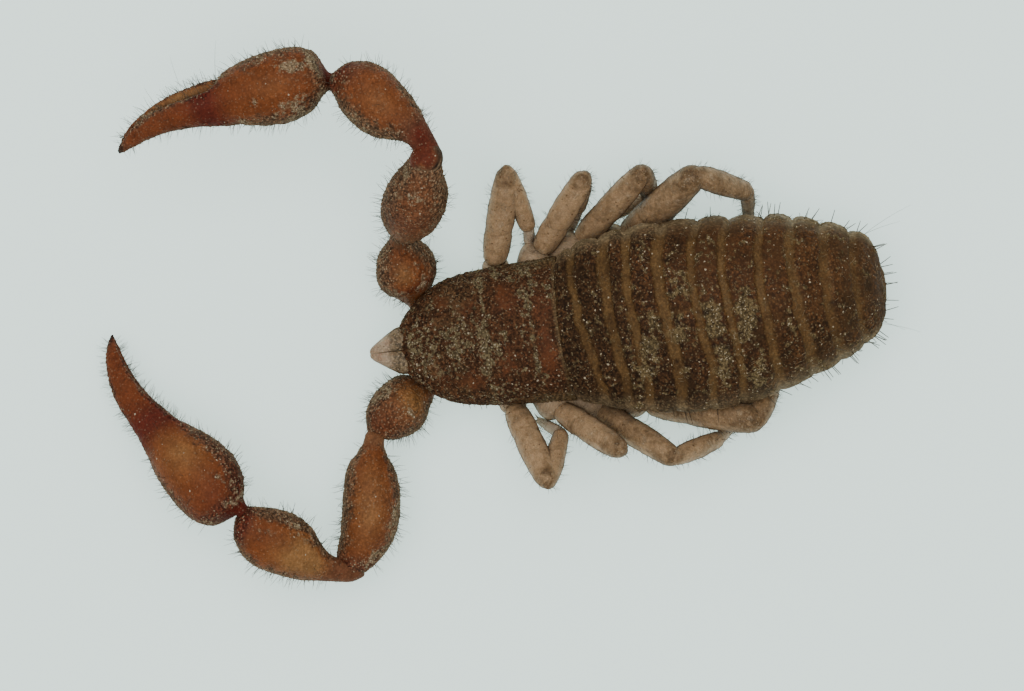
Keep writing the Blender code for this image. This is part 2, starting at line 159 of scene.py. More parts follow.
def cell_random(cells: Index, seed: int) -> Array:
    """A steady random number from 0 to 1 for each lattice cell, by mixing the bits of its three indices.

    Args:
        cells: Cell indices, three to a cell on the last axis.
        seed: Picks one of many unlike patterns.

    Returns:
        The numbers, one to a cell.
    """
    mask = 0xFFFFFFFF
    mixed = cells[..., 0] * 73856093 ^ cells[..., 1] * 19349663 ^ cells[..., 2] * 83492791 ^ seed * 374761393
    mixed = mixed & mask
    mixed = ((mixed ^ (mixed >> 15)) * 0x2C1B3C6D) & mask
    mixed = ((mixed ^ (mixed >> 12)) * 0x297A2D39) & mask
    return (mixed ^ (mixed >> 15)) / float(mask)


def turned(points: Array, seed: int) -> Array:
    """The points turned about two axes by angles from the seed, so that no lattice lies along the body."""
    level, tilt = 0.6 + 0.37 * (seed % 7), 0.9 + 0.23 * (seed % 11)
    about_z = np.array([
        [math.cos(level), -math.sin(level), 0.0], [math.sin(level), math.cos(level), 0.0], [0.0, 0.0, 1.0],
    ])
    about_x = np.array([
        [1.0, 0.0, 0.0], [0.0, math.cos(tilt), -math.sin(tilt)], [0.0, math.sin(tilt), math.cos(tilt)],
    ])
    return points @ (about_z @ about_x)


def value_noise(points: Array, size: float, seed: int) -> Array:
    """Smooth noise from -1 to 1: eased blend of the random numbers at the eight corners of each cell.

    Args:
        points: Points, three numbers on the last axis.
        size: Edge of a cell in millimetres.
        seed: Picks the pattern.

    Returns:
        The noise, one number to a point.
    """
    spot = turned(points, seed) / size
    cell = np.floor(spot).astype(np.int64)
    share = spot - cell
    share = share * share * (3 - 2 * share)
    total = np.zeros(points.shape[:-1])
    for corner in np.ndindex(2, 2, 2):
        side = np.array(corner)
        weight = np.prod(np.where(side == 1, share, 1 - share), axis=-1)
        total += weight * cell_random(cell + side, seed)
    return 2 * total - 1


def cloud(points: Array, size: float, seed: int, layers: int = 3) -> Array:
    """Layered noise: value noise summed over halving sizes and heights, scaled back to about -1 to 1."""
    total = sum(value_noise(points, size / 2**k, seed + k) / 2**k for k in range(layers))
    return total / (2 - 2 ** (1 - layers)) * 1.4


def beads(points: Array, size: float, seed: int, fill: float = 0.62) -> tuple[Array, Array]:
    """Round grains on a shaken lattice: half balls, sqrt(1 - distance² / radius²), the highest wins.

    Args:
        points: Points, three numbers on the last axis.
        size: Spacing of the grains in millimetres.
        seed: Picks the pattern.
        fill: Largest radius as a share of the spacing.

    Returns:
        The height of the grain at each point from 0 to 1, and a random number of its own for each grain.
    """
    spot = turned(points, seed) / size
    base = np.floor(spot).astype(np.int64) - 1
    best = np.zeros(points.shape[:-1])
    label = np.zeros(points.shape[:-1])
    for corner in np.ndindex(3, 3, 3):
        cell = base + np.array(corner)
        chance = cell_random(cell, seed)
        shake = np.stack([cell_random(cell, seed + k) for k in (11, 12, 13)], axis=-1) - 0.5
        radius = fill * (0.6 + 0.4 * chance)
        away = ((spot - cell - 0.5 - 0.9 * shake) ** 2).sum(axis=-1)
        height = np.sqrt(held(1 - away / radius**2)) * (0.7 + 0.3 * chance)
        label = np.where(height > best, chance, label)
        best = np.maximum(best, height)
    return best, label


def patches(first: Array, second: Array, rows: Sequence[Row]) -> Array:
    """Soft oval patches: each is its level times exp of minus the squared distance in half sizes.

    Args:
        first: Each point's place on the first axis.
        second: Each point's place on the second axis.
        rows: For each patch its place on both axes, its half sizes on both, and its level.

    Returns:
        The sum of the patches at each point.
    """
    total = np.zeros(np.broadcast(first, second).shape)
    for x, y, wide, long, level in rows:
        total += level * np.exp(-(((first - x) / wide) ** 2) - ((second - y) / long) ** 2)
    return total


# Surfaces


def on_floor(points: Array) -> Array:
    """The points, with those that lie too low raised to the floor."""
    return np.maximum(points, [-np.inf, -np.inf, FLOOR_REST])


@dataclass
class Surface:
    """A closed surface of rings between two poles, in millimetres, with masks on its points."""

    points: Array
    poles: tuple[Array, Array]
    masks: dict[str, Array] = field(default_factory=dict)

    def normals(self) -> Array:
        """Outward normals: the cross product of the steps along and around, away from the ring's middle."""
        along = np.gradient(self.points, axis=0)
        around = np.roll(self.points, -1, axis=1) - np.roll(self.points, 1, axis=1)
        normal = np.cross(along, around)
        normal /= np.maximum(np.linalg.norm(normal, axis=-1, keepdims=True), 1e-12)
        outward = self.points - self.points.mean(axis=1, keepdims=True)
        return normal if (normal * outward).sum() > 0 else -normal

    def push(self, height: Array) -> None:
        """Moves each point along its normal by its height, and keeps the surface on the floor."""
        self.points = on_floor(self.points + self.normals() * height[..., None])

    def vertices(self) -> Array:
        """All points in one list, the two poles last."""
        return np.concatenate([self.points.reshape(-1, 3), np.array(self.poles).reshape(2, 3)])

    def mask(self, name: str) -> Array:
        """A mask in the order of the points, each pole taking its ring's mean."""
        values = self.masks.get(name)
        if values is None:
            return np.full(self.points.shape[0] * self.points.shape[1] + 2, MASK_DEFAULTS.get(name, 0.0))
        return np.concatenate([values.ravel(), [values[0].mean(), values[-1].mean()]])

    def faces(self) -> tuple[Index, Index]:
        """Four-sided faces between rings and three-sided ones at the poles, wound to face outwards.

        Returns:
            The quads and the triangles, as indices into vertices().
        """
        rows, around = self.points.shape[:2]
        index = np.arange(rows * around).reshape(rows, around)
        ahead = np.roll(index, -1, axis=1)
        quads = np.stack([index[:-1], ahead[:-1], ahead[1:], index[1:]], axis=-1).reshape(-1, 4)
        first = np.stack([np.full(around, rows * around), ahead[0], index[0]], axis=-1)
        last = np.stack([np.full(around, rows * around + 1), index[-1], ahead[-1]], axis=-1)
        tris = np.concatenate([first, last])
        spots = self.vertices()
        corners = spots[np.concatenate([quads[:, :3], quads[:, [0, 2, 3]], tris])]
        volume = (corners[:, 0] * np.cross(corners[:, 1], corners[:, 2])).sum()
        return (quads, tris) if volume > 0 else (quads[:, ::-1], tris[:, ::-1])


def closed(points: Array, beyond: Row = (0.0, 0.0, 0.0)) -> Surface:
    """A surface with its poles in the middle of its end rings, the last pole moved a step beyond."""
    return Surface(points, (points[0].mean(axis=0), points[-1].mean(axis=0) + beyond))


def shell(node: str, surfaces: Sequence[Surface], material: Material) -> None:
    """Makes the piece that stands for one solid and has its name."""
    piece(f"{node}_shell", surfaces, material, [node])


def piece(
    name: str, surfaces: Sequence[Surface], material: Material, nodes: Sequence[str]
) -> None:
    """Makes one named piece from closed surfaces, with their masks as attributes, and sets it on the frame.

    Args:
        name: The piece's name.
        surfaces: Its closed surfaces.
        material: Its finish.
        nodes: The solids it stands for.
    """
    quads, tris, start = [], [], 0
    for surface in surfaces:
        four, three = surface.faces()
        quads.append(four + start)
        tris.append(three + start)
        start += surface.points.shape[0] * surface.points.shape[1] + 2
    vertices = (np.concatenate([s.vertices() for s in surfaces]) - ORIGIN) * MM
    mesh = mesh_of(name, vertices, np.concatenate(quads), np.concatenate(tris))
    for mask in MASKS:
        values = np.concatenate([s.mask(mask) for s in surfaces])
        mesh.attributes.new(mask, "FLOAT", "POINT").data.foreach_set("value", values.astype(np.float32))
    settle(name, mesh, material, nodes)


def mesh_of(name: str, vertices: Array, quads: Array, tris: Array) -> bpy.types.Mesh:
    """A smooth mesh from arrays of points in metres, quads and triangles."""
    mesh = bpy.data.meshes.new(name)
    mesh.vertices.add(len(vertices))
    mesh.vertices.foreach_set("co", vertices.astype(np.float32).ravel())
    loops = np.concatenate([quads.ravel(), tris.ravel()])
    mesh.loops.add(len(loops))
    mesh.loops.foreach_set("vertex_index", loops.astype(np.int32))
    starts = np.concatenate([np.arange(len(quads)) * 4, quads.size + np.arange(len(tris)) * 3])
    mesh.polygons.add(len(starts))
    mesh.polygons.foreach_set("loop_start", starts.astype(np.int32))
    mesh.update(calc_edges=True)
    mesh.shade_smooth()
    return mesh


def in_scene(name: str, data: bpy.types.ID) -> bpy.types.Object:
    """A new object in the scene."""
    obj = bpy.data.objects.new(name, data)
    bpy.context.scene.collection.objects.link(obj)
    return obj


def settle(
    name: str, mesh: bpy.types.Mesh, material: Material, nodes: Sequence[str] = ()
) -> None:
    """Links a mesh as a piece that rides on the one body there is and stands for the solids named.

    Args:
        name: The piece's name.
        mesh: Its mesh.
        material: Its finish.
        nodes: The solids it stands for, none for hairs.
    """
    mesh.materials.append(material)
    obj = in_scene(name, mesh)
    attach(obj, "root")
    if nodes:
        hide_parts(*nodes)
    log.info("%s: %d points, %d faces", name, len(mesh.vertices), len(mesh.polygons))


# Hairs


@dataclass
class Coat:
    """Hairs gathered into one piece: tapered tubes that bend as the square of the way along them."""

    sides: int = 3
    rings: int = 5
    buried: float = 0.06
    vertices: list[Array] = field(default_factory=list)
    spots: list[Array] = field(default_factory=list)

    def grow(
        self, roots: Array, directions: Array, lengths: Array, thickness: Array, bends: Array,
        spots: Array, blunt: float,
    ) -> None:
        """Adds hairs: the middle runs root + direction·s + bend·s², and the radius narrows along it.

        Args:
            roots: Root points in millimetres.
            directions: Unit directions at the root.
            lengths: Length of each hair.
            thickness: Radius of each hair at its root.
            bends: Sideways drift at the tip, as a share of the length.
            spots: Each root's place on the unwrap of its skin, from 0 to 1.
            blunt: The tip's radius as a share of the root's.
        """
        way = np.linspace(-self.buried, 1, self.rings)[None, :, None]
        path = directions[:, None] * way + bends[:, None] * (np.sign(way) * way**2)
        middle = roots[:, None] + lengths[:, None, None] * path
        helper = np.where(np.abs(directions[:, 2:3]) < 0.8, UP, [1.0, 0.0, 0.0])
        first = np.cross(directions, helper)
        first /= np.linalg.norm(first, axis=1, keepdims=True)
        second = np.cross(directions, first)
        turn = np.arange(self.sides) * math.tau / self.sides
        ring = np.cos(turn)[None, :, None] * first[:, None] + np.sin(turn)[None, :, None] * second[:, None]
        narrow = (1 - (1 - blunt) * held(way) ** 1.3) * thickness[:, None, None]
        tube = middle[:, :, None] + ring[:, None] * narrow[:, :, None]
        ends = np.stack([middle[:, 0], middle[:, -1] + directions * thickness[:, None]], axis=1)
        grid = np.meshgrid(np.linspace(-0.5, 0.5, self.rings), turn / math.tau - 0.5, indexing="ij")
        patch = np.concatenate([np.stack(grid, -1).reshape(-1, 2), [[-0.5, 0.0], [0.5, 0.0]]]) * BAKE_PATCH
        self.vertices.append(on_floor(np.concatenate([tube.reshape(len(roots), -1, 3), ends], axis=1)))
        self.spots.append(spots[:, None] + patch[None])

    def finish(self, name: str, material: Material, slot: Slot) -> None:
        """Joins the hairs into one piece with the bake's own unwrap.

        Args:
            name: The piece's name.
            material: Its finish.
            slot: The record's slot; not used.
        """
        whole = np.concatenate(self.vertices)
        sample = Surface(whole[0, :-2].reshape(self.rings, self.sides, 3), (whole[0, -2], whole[0, -1]))
        four, three = sample.faces()
        shift = (np.arange(len(whole)) * whole.shape[1])[:, None, None]
        quads, tris = (four[None] + shift).reshape(-1, 4), (three[None] + shift).reshape(-1, 3)
        mesh = mesh_of(name, (whole.reshape(-1, 3) - ORIGIN) * MM, quads, tris)
        flat = np.concatenate(self.spots).reshape(-1, 2)
        layer = mesh.uv_layers.new(name=BAKE_MAP)
        loops = np.concatenate([quads.ravel(), tris.ravel()])
        layer.data.foreach_set("uv", flat[loops].astype(np.float32).ravel())
        settle(name, mesh, material)


@dataclass(frozen=True)
class HairStyle:
    """How hairs stand on a skin: lengths and radii in millimetres, lean along the skin, and how they curl."""

    length: Pair
    radius: float
    lean: float
    curl: float
    scatter: float = 0.25
    sink: float = 0.0
    blunt: float = 0.3


def plant(
    coat: Coat, surface: Surface, count: int, style: HairStyle, weight: Array,
    rng: np.random.Generator, tile: Pair = (0.0, 1.0),
) -> None:
    """Plants hairs at random points of a skin, more where the weight is high.

    Args:
        coat: The coat that takes the hairs.
        surface: The skin.
        count: How many hairs.
        style: Their shape and stance.
        weight: How likely a hair is at each point, before the size of its patch is taken in.
        rng: The source of chance.
        tile: The band of the coat's unwrap that this skin has.
    """
    normal = surface.normals()
    along = np.gradient(surface.points, axis=0)
    around = np.roll(surface.points, -1, axis=1) - surface.points
    area = np.linalg.norm(np.cross(along, around), axis=-1)
    chance = (np.clip(weight, 0, None) * area).ravel()
    if chance.sum() <= 0:
        return
    picks = rng.choice(chance.size, size=count, replace=False, p=chance / chance.sum())
    row, column = np.unravel_index(picks, weight.shape)
    up = normal[row, column]
    lie = along[row, column]
    lie /= np.maximum(np.linalg.norm(lie, axis=1, keepdims=True), 1e-9)
    stray = rng.normal(size=up.shape) * style.scatter
    direction = up * (1 - style.lean) + lie * style.lean + stray
    direction /= np.linalg.norm(direction, axis=1, keepdims=True)
    bend = np.cross(direction, up + rng.normal(size=up.shape)) * style.curl * rng.choice([-1, 1], (count, 1))
    length = rng.uniform(*style.length, count)
    band = tile[0] + (tile[1] - tile[0]) * column / weight.shape[1]
    spot = np.stack([band, BAKE_MARGIN + (1 - 2 * BAKE_MARGIN) * row / weight.shape[0]], axis=1)
    roots = surface.points[row, column] + up * style.sink
    coat.grow(roots, direction, length, np.full(count, style.radius), bend, spot, style.blunt)


# Finishes


class Graph:
    """Short ways to add and join nodes in one node tree."""

    def __init__(self, tree: Tree) -> None:
        """Keeps the tree."""
        self.tree = tree

    def add(self, kind: str, inputs: dict | None = None, **settings: object) -> bpy.types.Node:
        """Adds a node, sets its options, and fills its inputs with values or with other nodes' outputs.

        Args:
            kind: The node's type name.
            inputs: Values or output sockets by input name or number.
            settings: The node's own options.

        Returns:
            The node.
        """
        node = self.tree.nodes.new(kind)
        for key, value in settings.items():
            setattr(node, key, value)
        for key, value in (inputs or {}).items():
            if isinstance(value, Socket):
                self.tree.links.new(value, node.inputs[key])
            else:
                node.inputs[key].default_value = solid(value)
        return node

    def mix(self, factor: object, first: object, second: object, blend: str = "MIX") -> Socket:
        """Blends two colours and gives the result's socket."""
        inputs = {0: factor, 6: first, 7: second}
        return self.add("ShaderNodeMix", inputs, data_type="RGBA", blend_type=blend).outputs[2]

    def math(self, operation: str, first: object, second: object, clamp: bool = False) -> Socket:
        """Works out one number from two."""
        inputs = {0: first, 1: second}
        return self.add("ShaderNodeMath", inputs, operation=operation, use_clamp=clamp).outputs[0]

    def times(self, first: object, second: object, clamp: bool = False) -> Socket:
        """The product of two numbers."""
        return self.math("MULTIPLY", first, second, clamp)

    def span(self, value: object, low: object, high: object, to: Pair = (0.0, 1.0)) -> Socket:
        """Maps a range onto another with soft ends."""
        inputs = {0: value, 1: low, 2: high, 3: to[0], 4: to[1]}
        return self.add("ShaderNodeMapRange", inputs, interpolation_type="SMOOTHSTEP").outputs[0]

    def mask(self, name: str) -> Socket:
        """Reads one of the masks on the points."""
        return self.add("ShaderNodeAttribute", attribute_name=name).outputs["Fac"]

    def place(self) -> Socket:
        """The point's own place in millimetres."""
        spot = self.add("ShaderNodeTexCoord").outputs["Object"]
        return self.add("ShaderNodeVectorMath", {0: spot, "Scale": 1 / MM}, operation="SCALE").outputs[0]

    def noise(self, spot: Socket, size: object, detail: float) -> Socket:
        """Cloudy noise from 0 to 1, of a size in cells to the millimetre."""
        inputs = {"Vector": spot, "Scale": size, "Detail": detail}
        return self.add("ShaderNodeTexNoise", inputs).outputs[0]

    def cells(self, spot: Socket, size: object) -> tuple[Socket, Socket, Socket]:
        """Voronoi cells: the distance from each cell's middle, and two random numbers of its own."""
        node = self.add("ShaderNodeTexVoronoi", {"Vector": spot, "Scale": size})
        draw = self.add("ShaderNodeSeparateColor", {0: node.outputs["Color"]})
        return node.outputs["Distance"], draw.outputs[0], draw.outputs[1]

    def shaken(self, size: float, reach: float) -> Socket:
        """The point's own place, drawn out of true by noise of a size in cells to the millimetre."""
        warp = self.add("ShaderNodeTexNoise", {"Vector": self.place(), "Scale": size}).outputs["Color"]
        bend = self.add("ShaderNodeVectorMath", {0: warp, "Scale": reach}, operation="SCALE").outputs[0]
        return self.add("ShaderNodeVectorMath", {0: self.place(), 1: bend}, operation="ADD").outputs[0]

    def shaded(self, colour: object, level: Socket) -> Socket:
        """The colour times a level."""
        grey = self.add("ShaderNodeCombineColor", {0: level, 1: level, 2: level}).outputs[0]
        return self.mix(1.0, colour, grey, "MULTIPLY")

    def effect(self, tree: Tree, **inputs: object) -> Socket:
        """Places a node group with its inputs filled in and gives what it puts out."""
        return self.add("ShaderNodeGroup", inputs, node_tree=tree).outputs[0]


def solid(value: object) -> object:
    """A colour with its opacity added; all else passes through."""
    return (*value, 1.0) if isinstance(value, tuple) and len(value) == 3 else value


def new_group(name: str, inputs: dict[str, object], output: str) -> tuple[Tree, Graph, dict]:
    """An empty node group: a tuple makes an input a colour, and "Colour" is put out as one.

    Args:
        name: The group's name.
        inputs: The default value of each input.
        output: The name of what it puts out.

    Returns:
        The group, a graph on it, and its inputs' sockets by name.
    """
    tree = bpy.data.node_groups.new(name, "ShaderNodeTree")
    for label, value in inputs.items():
        kind = "NodeSocketColor" if isinstance(value, tuple) else "NodeSocketFloat"
        tree.interface.new_socket(name=label, in_out="INPUT", socket_type=kind).default_value = value
    kind = "NodeSocketColor" if output == "Colour" else "NodeSocketFloat"
    tree.interface.new_socket(name=output, in_out="OUTPUT", socket_type=kind)
    graph = Graph(tree)
    given = graph.add("NodeGroupInput").outputs
    return tree, graph, {label: given[label] for label in inputs}


@dataclass
class Effects:
    """The effects that finishes share, each a node group made once. Sizes are cells to the millimetre."""

    mottle_step: float = 6.0
    mottle_swing: float = 2.4
    fleck_shake: Pair = (90.0, 0.012)
    fleck_reach: Pair = (0.22, 0.25)
    fleck_core: float = 0.6
    grain_shake: Pair = (140.0, 0.008)
    grain_tones: Pair = (0.42, 1.62)
    grain_seams: Pair = (1.08, 0.68)
    grain_edge: tuple[float, float, float] = (0.25, 0.55, 0.7)
    pale_core: float = 0.9
    relief_shares: Pair = (0.6, 0.5)

    def __post_init__(self) -> None:
        """Builds the groups."""
        self.mottle = self.make_mottle()
        self.speckle = self.make_speckle()
        self.pebble = self.make_pebble()
        self.grain = self.make_grain()

    def make_mottle(self) -> Tree:
        """Uneven depth of colour: the colour times one plus two layers of noise."""
        tree, graph, given = new_group("Mottle", {"Colour": WHITE, "Size": 20.0, "Amount": 0.3}, "Colour")
        spot = graph.place()
        coarse = graph.noise(spot, given["Size"], 5.0)
        fine = graph.noise(spot, graph.times(given["Size"], self.mottle_step), 3.0)
        swing = graph.math("SUBTRACT", graph.math("ADD", coarse, fine), 1.0)
        level = graph.math("ADD", graph.times(graph.times(swing, given["Amount"]), self.mottle_swing), 1.0)
        graph.add("NodeGroupOutput", {"Colour": graph.shaded(given["Colour"], level)})
        return tree

    def make_speckle(self) -> Tree:
        """Scattered flecks: cells that win a draw show a small dot at their middle."""
        inputs = {"Colour": WHITE, "Fleck": WHITE, "Size": 60.0, "Share": 0.1, "Amount": 1.0}
        tree, graph, given = new_group("Speckle", inputs, "Colour")
        away, draw, other = graph.cells(graph.shaken(*self.fleck_shake), given["Size"])
        chosen = graph.math("LESS_THAN", draw, given["Share"])
        edge = graph.math("ADD", graph.times(other, self.fleck_reach[1]), self.fleck_reach[0])
        dot = graph.math("SUBTRACT", 1.0, graph.span(away, graph.times(edge, self.fleck_core), edge))
        mask = graph.times(graph.times(dot, chosen), given["Amount"], clamp=True)
        graph.add("NodeGroupOutput", {"Colour": graph.mix(mask, given["Colour"], given["Fleck"])})
        return tree

    def make_pebble(self) -> Tree:
        """Grains of unlike depth: each cell has a tone of its own, some are pale, and the seams are dark."""
        inputs = {"Colour": WHITE, "Pale": WHITE, "Size": 80.0, "Share": 0.1, "Amount": 1.0}
        tree, graph, given = new_group("Pebble", inputs, "Colour")
        away, draw, other = graph.cells(graph.shaken(*self.grain_shake), given["Size"])
        inner, core, outer = self.grain_edge
        tone = graph.span(draw, 0.0, 1.0, self.grain_tones)
        seam = graph.span(away, inner, outer, self.grain_seams)
        swing = graph.math("SUBTRACT", graph.times(tone, seam), 1.0)
        level = graph.math("ADD", graph.times(swing, given["Amount"]), 1.0)
        toned = graph.shaded(given["Colour"], level)
        chosen = graph.math("LESS_THAN", other, given["Share"])
        middle = graph.span(away, inner, core, (self.pale_core, 0.0))
        pale = graph.times(graph.times(chosen, middle), given["Amount"], clamp=True)
        graph.add("NodeGroupOutput", {"Colour": graph.mix(pale, toned, given["Pale"])})
        return tree

    def make_grain(self) -> Tree:
        """Fine relief: round cells with a little noise over them, as a height in metres."""
        tree, graph, given = new_group("Fine grain", {"Size": 150.0, "Depth": 0.001}, "Height")
        spot = graph.place()
        away, _, _ = graph.cells(spot, given["Size"])
        dome = graph.times(graph.math("SUBTRACT", 1.0, away), self.relief_shares[0])
        rough = graph.times(graph.noise(spot, given["Size"], 3.0), self.relief_shares[1])
        height = graph.times(graph.math("ADD", dome, rough), given["Depth"])
        graph.add("NodeGroupOutput", {"Height": graph.times(height, MM)})
        return tree


def new_material(name: str) -> tuple[Material, Graph, bpy.types.Node]:
    """A material with a graph on its nodes, and its Principled shader."""
    material = bpy.data.materials.new(name)
    material.use_nodes = True
    return material, Graph(material.node_tree), material.node_tree.nodes["Principled BSDF"]


@dataclass(frozen=True)
class Cuticle:
    """A horny skin: its colours where thick, clear, soft, at the side, crusted, flecked and at the tips."""

    name: str
    dark: Colour
    amber: Colour
    soft: Colour
    side: Colour
    crust: Colour
    pale: Colour
    fleck: Colour
    tip: Colour = (0.008, 0.005, 0.004)
    roughness: Pair = (0.75, 0.48)
    crust_roughness: float = 0.9
    specular: float = 0.08
    mottle: float = 0.35
    mottle_size: float = 14.0
    pebble_size: float = 96.0
    pebble_share: float = 0.12
    crust_step: float = 1.25
    crust_share: float = 0.26
    fleck_size: float = 70.0
    fleck_share: float = 0.02
    fleck_amount: float = 0.8
    # How far the relief mask paints shade into the hollows and light onto the tops.
    relief_shade: float = 0.28
    grain_size: float = 120.0
    grain_depth: float = 0.0016
    bump: float = 0.8
    glow: float = 0.0
    glow_reach: float = 0.04
    glow_radius: Colour = (1.0, 0.55, 0.3)

    def material(self, effects: Effects) -> Material:
        """Builds the material: the masks blend the colours, then mottling, painted shade in the hollows and
        painted light on the grains' tops from the relief mask, grains, crust and flecks.

        Args:
            effects: The shared node groups.

        Returns:
            The material.
        """
        material, graph, shader = new_material(self.name)
        link = material.node_tree.links.new
        base = self.dark
        for mask in ("amber", "side", "soft"):
            base = graph.mix(graph.mask(mask), base, getattr(self, mask))
        base = graph.effect(effects.mottle, Colour=base, Size=self.mottle_size, Amount=self.mottle)
        # Painted shade and light: the colour is darkened where the relief mask is low and lightened where it
        # is high.
        base = graph.shaded(base, graph.span(graph.mask("relief"), 0.0, 1.0, (1 - self.relief_shade, 1 + self.relief_shade)))
        base = graph.effect(
            effects.pebble, Colour=base, Pale=self.pale, Size=self.pebble_size, Share=self.pebble_share,
            Amount=graph.mask("grit"),
        )
        crust = graph.effect(
            effects.pebble, Colour=self.crust, Pale=self.fleck, Size=self.pebble_size * self.crust_step,
            Share=self.crust_share, Amount=1.0,
        )
        base = graph.mix(graph.mask("crust"), base, crust)
        base = graph.effect(
            effects.speckle, Colour=base, Fleck=self.fleck, Size=self.fleck_size, Share=self.fleck_share,
            Amount=self.fleck_amount,
        )
        link(graph.mix(graph.mask("tip"), base, self.tip), shader.inputs["Base Color"])
        dull, clear = ((level,) * 3 for level in self.roughness)
        smooth = graph.mix(graph.mask("amber"), dull, clear)
        link(graph.mix(graph.mask("crust"), smooth, (self.crust_roughness,) * 3), shader.inputs["Roughness"])
        grain = graph.effect(effects.grain, Size=self.grain_size, Depth=self.grain_depth)
        bump = graph.add("ShaderNodeBump", {"Height": grain, "Distance": 1.0, "Strength": self.bump})
        link(bump.outputs[0], shader.inputs["Normal"])
        shader.inputs["Specular IOR Level"].default_value = self.specular
        if self.glow:
            shader.inputs["Subsurface Weight"].default_value = self.glow
            shader.inputs["Subsurface Scale"].default_value = self.glow_reach * MM
            shader.inputs["Subsurface Radius"].default_value = self.glow_radius
        return material


@dataclass(frozen=True)
class Bristle:
    """The finish of hairs: one colour that turns a little from root to root."""

    name: str
    colour: Colour
    roughness: float = 0.55
    specular: float = 0.2
    mottle: float = 0.5
    mottle_size: float = 12.0

    def material(self, effects: Effects) -> Material:
        """Builds the material from the shared node groups."""
        material, graph, shader = new_material(self.name)
        mottled = graph.effect(effects.mottle, Colour=self.colour, Size=self.mottle_size, Amount=self.mottle)
        material.node_tree.links.new(mottled, shader.inputs["Base Color"])
        shader.inputs["Roughness"].default_value = self.roughness
        shader.inputs["Specular IOR Level"].default_value = self.specular
        return material


class Finishes:
    """Every finish of the animal, made once."""

    def __init__(self) -> None:
        """Builds the materials."""
        effects = Effects()
        back = Cuticle(
            "abdomen cuticle",
            dark=(0.042, 0.02, 0.008), amber=(0.075, 0.03, 0.01), soft=(0.104, 0.056, 0.02),
            # The side colour is the flank lobes' own paler olive, made lighter still as painted light on the
            # steep sides.
            side=(0.235, 0.172, 0.096), crust=(0.116, 0.083, 0.039), pale=(0.132, 0.098, 0.052),
            fleck=(0.42, 0.345, 0.235), fleck_share=0.046, pebble_share=0.18, crust_share=0.17,
        )
        shield = Cuticle(
            "carapace cuticle",
            dark=(0.057, 0.0245, 0.0105), amber=(0.08, 0.0255, 0.0088), soft=(0.118, 0.078, 0.038),
            side=(0.104, 0.068, 0.031), crust=(0.126, 0.096, 0.05), pale=(0.17, 0.126, 0.074),
            fleck=(0.4, 0.33, 0.235), fleck_share=0.032, crust_share=0.2,
        )
        palp = Cuticle(
            "palp cuticle",
            dark=(0.136, 0.074, 0.038), amber=(0.142, 0.0385, 0.0108), soft=(0.215, 0.1, 0.034),
            side=(0.082, 0.0135, 0.0065), crust=(0.2, 0.148, 0.086), pale=(0.27, 0.205, 0.125),
            fleck=(0.46, 0.38, 0.27), roughness=(0.72, 0.42), pebble_share=0.2, fleck_share=0.012,
            specular=0.085, mottle=0.38, grain_depth=0.003,
        )
        leg = Cuticle(
            "leg cuticle",
            dark=(0.112, 0.066, 0.031), amber=(0.318, 0.2, 0.105), soft=(0.42, 0.33, 0.235),
            side=(0.15, 0.09, 0.042), crust=(0.28, 0.215, 0.14), pale=(0.38, 0.3, 0.2),
            fleck=(0.075, 0.038, 0.018), fleck_size=60.0, fleck_share=0.07, roughness=(0.55, 0.42),
            specular=0.12, mottle=0.36, mottle_size=26.0, relief_shade=0.25, glow=0.2, grain_depth=0.0026,
        )
        jaw = Cuticle(
            "chelicera cuticle",
            dark=(0.135, 0.092, 0.048), amber=(0.348, 0.253, 0.165), soft=(0.33, 0.24, 0.18),
            side=(0.23, 0.11, 0.066), crust=(0.15, 0.11, 0.06), pale=(0.3, 0.23, 0.16),
            fleck=(0.1, 0.06, 0.04), tip=(0.15, 0.055, 0.03), roughness=(0.5, 0.4), specular=0.15,
            mottle=0.2, relief_shade=0.2, glow=0.3,
        )
        self.abdomen = back.material(effects)
        self.carapace = shield.material(effects)
        self.palp = palp.material(effects)
        self.leg = leg.material(effects)
        self.jaw = jaw.material(effects)
        self.dark_hair = Bristle("dark bristle", (0.06, 0.04, 0.024)).material(effects)
        self.pale_hair = Bristle("pale bristle", (0.21, 0.15, 0.085)).material(effects)


# Trunk


def power_arc(angles: Array, power: float) -> tuple[Array, Array]:
    """Points of a superellipse of half sizes 1: cosine and sine raised to 2 over the power, signs kept."""
    across = np.sign(np.cos(angles)) * np.abs(np.cos(angles)) ** (2 / power)
    up = np.sign(np.sin(angles)) * np.abs(np.sin(angles)) ** (2 / power)
    return across, up


